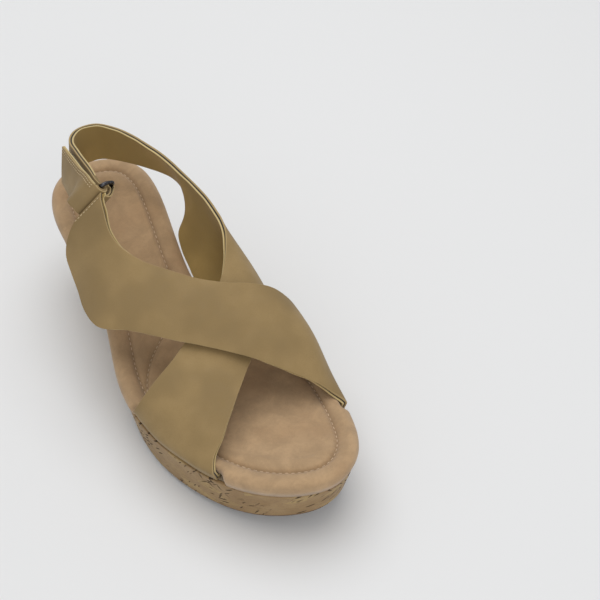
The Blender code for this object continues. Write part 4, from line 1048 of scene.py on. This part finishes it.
def seam_distance(plan):
    """Distance in the plan from the waist seam, and the length along it."""
    line = WAIST_SEAM(np.linspace(0, 6, 400))
    run = run_along(line)
    best, where = np.full(len(plan), 1.0), np.zeros(len(plan))
    for start in range(0, len(plan), 4000):
        part = plan[start : start + 4000]
        gap = np.linalg.norm(part[:, None] - line[None], axis=2)
        nearest = gap.argmin(axis=1)
        best[start : start + 4000] = gap[np.arange(len(part)), nearest]
        where[start : start + 4000] = run[nearest]
    return best, where


def bell(distance, width):
    """1 on a line, falling off to 0 beside it."""
    return np.exp(-((distance / width) ** 2))


def footbed_relief(points, channel, run):
    """How far each point of the footbed sinks: the sewn channels with a pucker at each stitch, and wear; and
    the painted shade that darkens the sunk channels and the seam.
    """
    plan = points[:, :2]
    pucker = np.cos(2 * math.pi * run / FOOTBED_PITCH)
    sink = 0.85 * MM * bell(channel, 0.95 * MM)
    sink += 0.2 * MM * pucker * bell(channel, 2.3 * MM) * np.abs(channel / (1.1 * MM)).clip(0, 1)
    seam, along = seam_distance(plan)
    pull = np.cos(2 * math.pi * along / FOOTBED_PITCH)
    sink += 1.1 * MM * bell(seam, 1.0 * MM) + 0.8 * MM * bell(seam, 4.0 * MM)
    sink += 0.18 * MM * pull * bell(seam, 2.4 * MM) * np.abs(seam / (1.1 * MM)).clip(0, 1)
    soft = ripple(21, 0.3 * MM, 60 * MM, 22 * MM, 8)
    small = ripple(22, 0.09 * MM, 12 * MM, 5 * MM, 10)
    sink += soft(plan[:, 0], plan[:, 1]) + small(plan[:, 0], plan[:, 1])
    # painted shade in the sunk channels and along the waist seam
    dark = np.maximum(bell(channel, 0.8 * MM), bell(seam, 0.8 * MM))
    return sink, dark


def stitch_run(line):
    """Length along a closed channel at each of its points, stretched to a whole number of stitches."""
    steps = np.linalg.norm(np.roll(line, -1, 0) - line, axis=1)
    whole_stitches = round(steps.sum() / FOOTBED_PITCH) * FOOTBED_PITCH
    return np.concatenate([[0], np.cumsum(steps)[:-1]]) * whole_stitches / steps.sum()


def footbed_rings(outline):
    """Rings from the hem over the rim to the padded middle, and how far each point is from the channel."""
    pressed = seat_shares(SQUEEZE_RAMP)
    section = cubic(range(len(RIM_SECTION)), RIM_SECTION, OPEN)
    hem = inset(outline, (HEM_UNDER_STRAP * pressed)[:, None])
    rises = HEM_RISE + (BOARD_RISE - HEM_RISE) * seat_shares(NOTCH_STEP)
    rings = [np.column_stack([hem, edge_height(hem[:, 1]) + rises])]
    channels = [np.full(len(outline), FAR_FROM_CHANNEL)]
    for k in np.concatenate([np.linspace(0, 4, 17), np.linspace(4, 6, 15)[1:], np.linspace(6, 7, 6)[1:]]):
        free, under, rise = section(k)[0]
        distance = free + (under - free) * pressed
        ring = inset(outline, distance[:, None])
        rings.append(np.column_stack([ring, edge_height(ring[:, 1]) + rise]))
        channels.append(distance - CHANNEL_INSET)
    cup = HEEL_CUP * np.sin(np.pi * np.clip(rings[-1][:, 1] / (SOLE_LENGTH / 2), 0, 1)) ** 2
    for back, share in ((1, 1.0), (2, 0.92), (3, 0.75), (4, 0.5), (5, 0.28), (6, 0.12)):
        rings[-back][:, 2] -= cup * share
    return rings, channels


def footbed_pad(last):
    """Rows across the padded middle inside the last ring, and how far each point is from the channel."""
    across = np.linspace(0, 1, PAD_COLUMNS + 1)[1:-1]
    rows, channels = [], []
    for j in range(len(STATIONS)):
        inner, outer = last[j], last[(len(last) - j) % len(last)]
        width = np.linalg.norm(outer - inner)
        row = inner + (outer - inner) * across[:, None]
        row[:, 2] -= np.minimum(0.03 * width, 1.3 * MM) * (1 - (2 * across - 1) ** 2)
        rows.append(row)
        channels.append(np.minimum(across, 1 - across) * width + 8 * MM)
    return rows, channels


def pad_faces(levels, count):
    """Faces of the padded middle, joined at both ends of each row to the last ring."""
    last_ring, first_row, wide = (levels - 1) * count, levels * count, PAD_COLUMNS - 1
    faces = []
    for j in range(len(STATIONS) - 1):
        for m in range(wide + 1):
            quad = []
            for row, column in ((j, m), (j + 1, m), (j + 1, m + 1), (j, m + 1)):
                if column == 0:
                    quad.append(last_ring + row)
                elif column == wide + 1:
                    quad.append(last_ring + (count - row) % count)
                else:
                    quad.append(first_row + row * wide + column - 1)
            faces.append(without_repeats(quad[::-1]))
    return [face for face in faces if len(face) > 2]


def make_footbed():
    """Suede over the foam: rolled rim, sewn channels, the padded middle and the hem down to the cork."""
    outline = ring_of(TOP_CURVE)
    middle_line = inset(outline, CHANNEL_INSET)
    rings, ring_channels = footbed_rings(outline)
    pad, pad_channels = footbed_pad(rings[-1])
    points = np.concatenate(rings + pad)
    channel = np.concatenate(ring_channels + pad_channels)
    run = [stitch_run(middle_line)] * len(rings)
    along = np.concatenate(run + [np.zeros(len(row)) for row in pad])
    sink, dark = footbed_relief(points, channel, along)
    fade = np.clip((points[:, 2] - edge_height(points[:, 1]) - 5 * MM) / (4 * MM), 0, 1)
    points[:, 2] -= sink * fade
    faces = ring_faces(len(rings), len(outline)) + pad_faces(len(rings), len(outline))
    mesh = bpy.data.meshes.new("footbed_suede_cover")
    mesh.from_pydata([tuple(p) for p in points], [], faces)
    # the 'sewn' layer carries painted shade in the sunk channels and the seam
    wear_and_channel_shade = mesh.attributes.new("sewn", "FLOAT", "POINT")
    wear_and_channel_shade.data.foreach_set("value", (dark * fade).astype(np.float32))
    shape = bmesh.new()
    shape.from_mesh(mesh)
    bmesh.ops.remove_doubles(shape, verts=shape.verts, dist=0.01 * MM)
    bmesh.ops.recalc_face_normals(shape, faces=shape.faces)
    if max(shape.faces, key=lambda face: face.calc_center_median().z).normal.z < 0:
        bmesh.ops.reverse_faces(shape, faces=shape.faces)
    shape.to_mesh(mesh)
    shape.free()
    mesh.materials.append(FOOTBED_SUEDE)
    cover = in_scene("footbed_suede_cover", mesh)
    shell = cover.modifiers.new("thickness", "SOLIDIFY")
    shell.thickness = SUEDE
    shell.offset = -1
    cover = plain_mesh(cover)
    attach(cover, "sandal")
    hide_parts("footbed_cover")
    lower_foam()
    lines = [footbed_line(middle_line)]
    seam = WAIST_SEAM(np.linspace(0.35, 5.8, 160))
    lines.append(np.column_stack([seam, surface_height(cover, seam) + 0.1 * MM]))
    sewn("footbed_stitches", lines, "sandal", FOOTBED_PITCH, 2.1 * MM, 0.26 * MM, SUEDE_THREAD, "suede")


def plain_mesh(obj):
    """The object with its modifiers made part of its mesh."""
    mesh = evaluated_mesh(obj)
    obj.modifiers.clear()
    obj.data = mesh
    mesh.shade_smooth()
    return obj


def surface_height(obj, plan):
    """Height of the object's upper face over points of the plan."""
    found = []
    for x, y in plan:
        hit, place, _, _ = obj.ray_cast(Vector((x, y, 0.3)), Vector((0, 0, -1)))
        found.append(place.z if hit else float(edge_height(y)[0]) + CHANNEL_RISE)
    return np.array(found)


def lower_foam():
    """The footbed's foam, sunk like the cover over it."""
    mesh = NODES["footbed_foam"].data.copy()
    shape = bmesh.new()
    shape.from_mesh(mesh)
    bmesh.ops.subdivide_edges(shape, edges=shape.edges, cuts=2, use_grid_fill=True)
    shape.to_mesh(mesh)
    shape.free()
    points = np.array([v.co for v in mesh.vertices])
    rise = points[:, 2] - edge_height(points[:, 1])
    seam, _ = seam_distance(points[:, :2])
    sink = 0.8 * MM + 1.6 * MM * bell(seam, 7 * MM)
    points[:, 2] -= sink * np.clip((rise - BOARD_RISE - 0.8 * MM) / (2.5 * MM), 0, 1)
    mesh.vertices.foreach_set("co", points.astype(np.float32).ravel())
    mesh.materials.clear()
    mesh.materials.append(FOAM)
    foam = in_scene("footbed_foam_sheet", mesh)
    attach(foam, "sandal")
    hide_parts("footbed_foam")


def footbed_line(line):
    """The perimeter channel's thread, closed by its first point."""
    closed = np.vstack([line, line[:1]])
    heights = surface_height(bpy.data.objects["footbed_suede_cover"], closed)
    return np.column_stack([closed, heights + 0.1 * MM])


make_footbed()


# Sole


def wall_outline(height_share, inward):
    top, ground = ring_of(TOP_CURVE), ring_of(GROUND_CURVE)
    return inset(ground + (top - ground) * height_share, inward)


def wedge_ring(inward, height_share, above):
    outline = wall_outline(height_share, inward)
    low = ground_height(outline[:, 1]) + above
    high = edge_height(outline[:, 1])
    return np.column_stack([outline, low + (high - low) * height_share])


def closed_band(name, rings, finish, up):
    """A ring-shaped solid from rings taken round its section, mapped by length round it and by height."""
    count = len(rings[0])
    piece = mesh_piece(name, np.vstack(rings), ring_faces(len(rings), count, True), finish, 60)
    steps = np.linalg.norm(np.roll(rings[up], -1, 0) - rings[up], axis=1)
    run = np.concatenate([[0], np.cumsum(steps)])
    layer = piece.data.uv_layers.new(name="wrap")
    for polygon in piece.data.polygons:
        columns = [v % count for v in polygon.vertices]
        seam = max(columns) - min(columns) > 1
        for loop, vertex, column in zip(polygon.loop_indices, polygon.vertices, columns):
            around = run[-1] if seam and column == 0 else run[column]
            layer.data[loop].uv = (around, piece.data.vertices[vertex].co.z)
    return piece


def make_cork():
    base = OUTSOLE + CLEARANCE
    shares = [0.0, 0.06, 0.14, 0.24, 0.36, 0.48, 0.6, 0.72, 0.84, 0.94]
    outside = [wedge_ring(0.0, share, base) for share in shares]
    outside.append(wedge_ring(0.12 * MM, 0.985, base))
    top = wedge_ring(0.5 * MM, 1.0, base)
    inside = [wedge_ring(CORK, share, base) for share in (1.0, 0.5, 0.0)]
    swell = ripple(31, 0.12 * MM, 40 * MM, 12 * MM, 8)
    for ring in outside[1:-1]:
        centre = ring[:, :2].mean(axis=0)
        out = unit(ring[:, :2] - centre)
        ring[:, :2] += out * swell(ring[:, 1] * 2 + ring[:, 0], ring[:, 2])[:, None] - out * 0.1 * MM
    piece = closed_band("cork_wrap_band", outside + [top] + inside, CORK_WRAP, 5)
    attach(piece, "sandal")
    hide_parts("cork_wrap")


# The rubber sheet's edge in millimetres: inside its outline, and over the ground
SOLE_EDGE = [(3.0, 0.9), (0.55, 0.9), (0.15, 1.15), (0.0, 1.6), (0.0, 2.6), (0.12, 2.9), (0.6, 3.0)]
TREAD_DEPTH = 0.9 * MM
TREAD_BAR = (6.4 * MM, 2.4 * MM)
TREAD_ROWS = 5.2 * MM
TREAD_PITCH = 8.6 * MM
TREAD_SLANT = math.radians(24)
TREAD_EDGE = 5.5 * MM


def make_outsole():
    """Rubber sheet with a rounded edge, and moulded bars that the sandal stands on."""
    edge = wall_outline(0.0, 1.0 * MM)
    low = ground_height(edge[:, 1])
    rings = [np.column_stack([inset(edge, inward * MM), low + rise * MM]) for inward, rise in SOLE_EDGE]
    rings[0][:, 2] = ground_height(rings[0][:, 1]) + TREAD_DEPTH
    count, steps = len(edge), len(STATIONS) - 1
    faces = ring_faces(len(rings), count)
    for start, turned in ((0, False), ((len(rings) - 1) * count, True)):
        for j in range(steps):
            face = [start + j, start + j + 1, start + count - j - 1, start + (count - j) % count]
            face = without_repeats(face)
            faces.append(face[::-1] if turned else face)
    sheet = mesh_piece("outsole_sheet", np.vstack(rings), faces, SOLE_RUBBER)
    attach(sheet, "sandal")
    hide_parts("outsole")
    inner = inset(edge, TREAD_EDGE)
    half = len(inner) // 2
    right, left = inner[: half + 1], np.vstack([inner[:1], inner[half:][::-1]])
    points, turns = [], []
    for row, y in enumerate(np.arange(-SOLE_LENGTH / 2 + 10 * MM, SOLE_LENGTH / 2 - 12 * MM, TREAD_ROWS)):
        high = np.interp(-y, -right[:, 1], right[:, 0])
        lowest = np.interp(-y, -left[:, 1], left[:, 0])
        shift = TREAD_PITCH / 2 * (row % 2)
        for x in np.arange(-60 * MM + shift, 60 * MM, TREAD_PITCH):
            if lowest + 2 * MM < x < high - 2 * MM:
                ground = float(ground_height(y)[0])
                slope = float(ground_height(y + MM)[0] - ground_height(y - MM)[0]) / (2 * MM)
                points.append((x, y, ground + TREAD_DEPTH / 2 + 0.02 * MM))
                turns.append((math.atan(slope), 0, TREAD_SLANT if row % 2 else -TREAD_SLANT))
    sizes = {"Length": TREAD_BAR[0], "Width": TREAD_BAR[1], "Height": TREAD_DEPTH}
    bars = grown("outsole_tread", points, [], TREAD_BARS, sizes, SOLE_RUBBER, [("turn", turns)])
    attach(bars, "sandal")


make_cork()
make_outsole()


# Closure

OUTER = FOLD_RADIUS + FOLD  # the tab's outer face, from the bar's middle
TAB_ROWS = (1.3 * MM, 3.0 * MM)  # the rows of stitches, inside the tab's upper edge
LOOP_TAPE_LEVELS = (0.15 * MM, 0.75 * MM)  # both faces of each backing, over the sling's outer face
HOOK_TAPE_LEVELS = (2.05 * MM, 2.75 * MM)
HOOK_HEIGHT = 0.42 * MM
HOOK_THREAD = 0.09 * MM


def slid(along, back, out):
    return np.array([CLOSURE.at(s - max(back, 0) * SLING_SLANT, back, out) for s in along])


def picked(row, picks):
    """Points of a row at places counted in its own points."""
    return np.column_stack([np.interp(picks, np.arange(len(row)), row[:, k]) for k in range(3)])


def strap_through(rows, out_way):
    """A strap's face through rows, with its outer side towards out_way at its last row."""
    made = Strap(rows, 1)
    normal = made.normals([made.knots[-1]])[0].mean(axis=0)
    made.turn = 1 if normal @ out_way > 0 else -1
    return made


def make_ring():
    """Rectangular wire ring with round corners."""
    lean = math.radians(RING_LEAN)
    inwards = math.sin(lean) * CLOSURE.back - math.cos(lean) * CLOSURE.out
    half, corner = HALF + RING_PLAY + WIRE_RADIUS, 3.0 * MM
    path = []
    for along, deep, start in ((1, 0, -90), (1, 1, 0), (-1, 1, 90), (-1, 0, 180)):
        middle = along * (half - corner), (corner if deep == 0 else RING_DEPTH - corner)
        for turn in np.radians(start + 90 * np.arange(9) / 8):
            path.append((middle[0] + corner * math.cos(turn), middle[1] + corner * math.sin(turn)))
    wire = bpy.data.curves.new("ring_wire", "CURVE")
    wire.dimensions = "3D"
    wire.bevel_depth = WIRE_RADIUS
    wire.bevel_resolution = 6
    line = wire.splines.new("POLY")
    line.points.add(len(path) - 1)
    for point, (a, i) in zip(line.points, path):
        point.co = (*(CLOSURE.middle + CLOSURE.along * a + inwards * i), 1)
    line.use_cyclic_u = True
    guide = in_scene("ring_wire", wire)
    mesh = evaluated_mesh(guide)
    bpy.data.objects.remove(guide)
    ring = in_scene("ring_of_wire", mesh)
    mesh.materials.clear()
    mesh.materials.append(GUNMETAL)
    mesh.shade_smooth()
    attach(ring, "ring")
    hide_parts("ring")
    return inwards


def make_keeper(inwards):
    """Leather strip round the ring's inner bar, sewn inside the cross strap's end."""
    bar = np.array([inwards @ CLOSURE.back, inwards @ CLOSURE.out]) * RING_DEPTH
    loop = WIRE_RADIUS + KEEPER_ROOM + KEEPER / 2
    under = STRAP + 0.45 * MM + KEEPER / 2
    where = np.array([CROSS.behind_end(d) for d in (KEEPER_LEG + 2 * MM, KEEPER_LEG / 2 + 2 * MM, 2 * MM)])
    places = np.linspace(-HALF + 0.8 * MM, HALF - 0.8 * MM, len(SHARES))
    turns = [math.radians(degrees) for degrees in range(140, -151, -29)]
    around = [(bar[0] + loop * math.cos(turn), bar[1] + loop * math.sin(turn)) for turn in turns]
    around = [(-OUTER - 0.6 * MM, -OUTER + 0.4 * MM)] + around + [(-OUTER - 1.6 * MM, -OUTER - 0.5 * MM)]
    picks = (places / CLOSURE.width + 0.5) * (len(SHARES) - 1)
    rows = [picked(row, picks) for row in CROSS.offset(where, -under)]
    rows += [np.array([CLOSURE.at(s, back, out) for s in places]) for back, out in around]
    rows += [picked(row, picks) for row in CROSS.offset(where[::-1], -under - KEEPER - CLEARANCE)]
    strip = Strap(rows, 1)
    along = strip.rows_between(strip.knots[0], strip.knots[-1], 0.7 * MM)
    face, normals = rows_of(strip, along)
    face = face + normals * KEEPER / 2
    piece = strap_sheet("ring_keeper_strip", face, normals, 0.0, KEEPER, NUBUCK, 0.0, 0.22 * MM)
    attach(piece, "sandal")
    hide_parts("ring_keeper")


def make_fold_and_tab():
    """The sling's end turned round the ring's outer bar and carried on as the tab, in one skin of leather
    over the fold's stiffener and the tab's lining."""
    turned = []
    for angle in np.radians([8, 30, 55, 80, 105, 130, 155, 180]):
        turned.append(slid(PLACES, -OUTER * math.sin(angle), -OUTER * math.cos(angle)))
    level = FOLD_RADIUS + SLING_UNDER_BAR + FOLD
    reach = np.array([SLING.behind_end(d) for d in np.linspace(6 * MM, TAB_LENGTH, 12)])
    rows = turned + [slid(PLACES, back, OUTER) for back in (0.7 * MM, 1.6 * MM, 3.2 * MM)]
    rows += list(SLING.offset(reach, level))
    skin = strap_through(rows, CLOSURE.out)
    where = skin.rows_between(skin.knots[0], skin.knots[-1], 0.6 * MM)
    face, normals = rows_of(skin, where)
    wave = ripple(41, 0.1 * MM, 40 * MM, 15 * MM)
    ridge = run_along(face.mean(axis=1))
    piece = strap_sheet("tab_skin", face, normals, 0.0, SKIN, NUBUCK, 0.0, 0.3 * MM, wave)
    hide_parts("tab")
    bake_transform(piece)
    from_hinge = [k for k, w in enumerate(where) if w > skin.knots[len(turned) + 1]]
    face, normals = face[from_hinge], normals[from_hinge]
    lining = strap_sheet(
        "tab_lining", face, normals, SKIN, FOLD - SKIN, LINING_LEATHER, -0.12 * MM, 0.25 * MM, wave
    )
    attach(lining, "tab")
    run = run_along(face.mean(axis=1))
    rows_at = []
    for inset_by in TAB_ROWS:
        line = []
        for k in range(1, len(face) - 2):
            row = face[k]
            width = np.linalg.norm(np.diff(row, axis=0), axis=1).sum()
            place = spread(row, np.array([width - inset_by]))[0]
            rise = 0.12 * MM + wave(run[k] + ridge[from_hinge[0]], width - inset_by)
            line.append(place + normals[k][-4] * rise)
        rows_at.append(np.array(line))
    sewn("tab_stitches", rows_at, "tab", 2.0 * MM, 1.55 * MM, 0.2 * MM)
    stiffener = []
    start = SLING.behind_end(FOLD_LEG)
    legs = np.linspace(start, SLING.knots[-1], 8)[:-1]
    under = LEATHER + CLEARANCE
    inner = SLING.offset(legs, -under - FOLD)
    outer = SLING.offset(legs, -under)
    radius = OUTER - SKIN - 0.05 * MM
    for angle in np.radians(np.linspace(0, 180, 19)):
        stiffener.append((radius * -math.sin(angle), radius * -math.cos(angle),
                          FOLD_RADIUS * -math.sin(angle), FOLD_RADIUS * -math.cos(angle)))
    low = [slid(PLACES, a, b) for a, b, _, _ in stiffener] + [slid(PLACES, FOLD_END, radius)]
    high = [slid(PLACES, a, b) for _, _, a, b in stiffener] + [slid(PLACES, FOLD_END, FOLD_RADIUS)]
    verts, faces = two_faces(np.concatenate([inner, low]), np.concatenate([outer, high]))
    fold = mesh_piece("fold_stiffener", verts, faces, NUBUCK)
    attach(fold, "sandal")
    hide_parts("sling_fold")


def make_touch_tapes():
    """Loop tape on the sling and hook tape inside the tab: thin woven backings with loops and hooks."""
    reach = np.array([SLING.behind_end(d) for d in np.linspace(TOUCH_TAPE_START, TOUCH_TAPE_END, 30)])
    share = TOUCH_TAPE_SIDE / CLOSURE.width
    columns = np.linspace(share, 1 - share, 13) * (len(SHARES) - 1)

    def narrowed(distance):
        return np.array([picked(row, columns) for row in SLING.offset(reach, distance)])

    for name, node, body, low, high, finish, up in (
        ("loop_tape_backing", "loop_tape", "sandal", *LOOP_TAPE_LEVELS, LOOPS, 1),
        ("hook_tape_backing", "hook_tape", "tab", *HOOK_TAPE_LEVELS, HOOKS, -1),
    ):
        verts, faces = two_faces(narrowed(high), narrowed(low))
        tape = mesh_piece(name, verts, faces, finish)
        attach(tape, body)
        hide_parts(node)
        spots, ways = [], []
        fine = np.linspace(reach[0], reach[-1], 38)
        normals = SLING.normals(fine)
        base = SLING.offset(fine, high if up > 0 else low)
        for i in range(1, len(fine) - 1):
            for pick in np.linspace(columns[0] + 0.5, columns[-1] - 0.5, 20):
                k = int(pick)
                spots.append(base[i][k] + (base[i][k + 1] - base[i][k]) * (pick - k))
                ways.append(normals[i][k] * up)
        sizes = {"Height": HOOK_HEIGHT, "Thread radius": HOOK_THREAD}
        field = grown(f"{node}_threads", spots, [], HOOK_FIELD, sizes, finish, [("up", ways)])
        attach(field, body)


def make_strap_stitches():
    """Rows that hold the keeper in the cross strap's end and the fold under the sling's end."""
    pitch, length = 2.3 * MM, 1.8 * MM
    line = CROSS.offset([CROSS.behind_end(3.2 * MM)], 0.12 * MM)[0][2:-2]
    sewn("cross_strap_end_stitches", [line], "sandal", pitch, length)
    under_fold = -LEATHER - CLEARANCE - FOLD - 0.02 * MM
    inside = [SLING.offset([SLING.behind_end(FOLD_LEG - 2 * MM)], under_fold)[0][2:-2]]
    inside.append(CROSS.offset([CROSS.behind_end(KEEPER_LEG)], -STRAP - 2.75 * MM)[0][3:-3])
    sewn("inside_stitches", inside, "sandal", pitch, length)


make_keeper(make_ring())
make_fold_and_tab()
make_touch_tapes()
make_strap_stitches()


# Hidden inside, carried over from the frame

RIVET_STEEL = metal("rivet_steel", (0.48, 0.48, 0.5), 0.3)
for node, finish in (
    ("wedge_core", plain_grain("wedge_foam", (0.55, 0.45, 0.32), 0.85, 0.8, 0.1)),
    ("bottom_filler", plain_grain("cork_filler", (0.36, 0.28, 0.18), 0.9, 0.9, 0.15, 0.25)),
    ("shank_board", plain_grain("fibre_board", (0.45, 0.35, 0.22), 0.9, 0.6, 0.08)),
    ("insole_board", plain_grain("insole_fibre_board", (0.47, 0.37, 0.24), 0.9, 0.6, 0.08)),
    ("steel_shank", metal("spring_steel", (0.4, 0.4, 0.42), 0.35)),
    ("shank_rivet_front", RIVET_STEEL),
    ("shank_rivet_rear", RIVET_STEEL),
):
    slots = NODES[node].data.materials
    slots.clear()
    slots.append(finish)


# Floor, light and camera

CAMERA_LENS = 76.8
CAMERA_PLACE = (-0.2236, -0.4419, 0.5739)
CAMERA_WAY = (0.390, 0.5789, -0.7161)
FLOOR_WAY = np.array([0.559, 0.829])  # the camera's way in the plan
FLOOR_SIDE = np.array([0.829, -0.559])
FLOOR_HALF_WIDTH = 4.0
FLOOR_FRONT = -2.5
SWEEP_START = 1.6
SWEEP_RADIUS = 1.2
SWEEP_TURN = 1.35  # radians


def make_stage():
    """A pale seamless sheet: flat under the sandal and curving up far behind it."""
    steps = [(FLOOR_FRONT, 0.0)]
    for turn in np.linspace(0, SWEEP_TURN, 14):
        steps.append((SWEEP_START + SWEEP_RADIUS * math.sin(turn), SWEEP_RADIUS * (1 - math.cos(turn))))
    verts, faces = [], []
    for far, height in steps:
        for across in (-FLOOR_HALF_WIDTH, FLOOR_HALF_WIDTH):
            verts.append((*(FLOOR_WAY * far + FLOOR_SIDE * across), height))
    for i in range(len(steps) - 1):
        faces.append((2 * i, 2 * i + 1, 2 * i + 3, 2 * i + 2))
    mesh = bpy.data.meshes.new("paper_sweep")
    mesh.from_pydata(verts, [], faces)
    mesh.shade_smooth()
    paper = finish_of("pale_paper", (0.78, 0.785, 0.79), 0.9, Specular_IOR_Level=0.1)
    mesh.materials.append(paper)
    in_scene("paper_sweep", mesh)


def light(name, place, target, size, power, colour=(1, 1, 1)):
    lamp = bpy.data.lights.new(name, "AREA")
    lamp.shape = "DISK"
    lamp.size = size
    lamp.energy = power
    lamp.color = colour
    obj = in_scene(name, lamp)
    obj.location = place
    obj.rotation_mode = "QUATERNION"
    obj.rotation_quaternion = (Vector(target) - Vector(place)).to_track_quat("-Z", "Y")


def make_camera():
    lens = bpy.data.cameras.new("camera")
    lens.lens = CAMERA_LENS
    lens.sensor_width = 36
    lens.clip_start = 0.01
    lens.clip_end = 20
    camera = in_scene("camera", lens)
    camera.location = CAMERA_PLACE
    camera.rotation_mode = "QUATERNION"
    camera.rotation_quaternion = Vector(CAMERA_WAY).to_track_quat("-Z", "Y")
    bpy.context.scene.camera = camera


make_stage()
light("overhead_softbox", (0.15, 0.35, 1.5), (0.05, 0.0, 0.0), 1.7, 15.0)
light("front_fill", (-0.4, -1.4, 0.8), (0.0, 0.0, 0.05), 1.6, 7.5)
world = bpy.data.worlds.new("studio")
world.use_nodes = True
world.node_tree.nodes["Background"].inputs["Color"].default_value = (1.0, 1.0, 1.0, 1)
world.node_tree.nodes["Background"].inputs["Strength"].default_value = 0.45
bpy.context.scene.world = world
bpy.context.scene.view_settings.view_transform = "Standard"
make_camera()
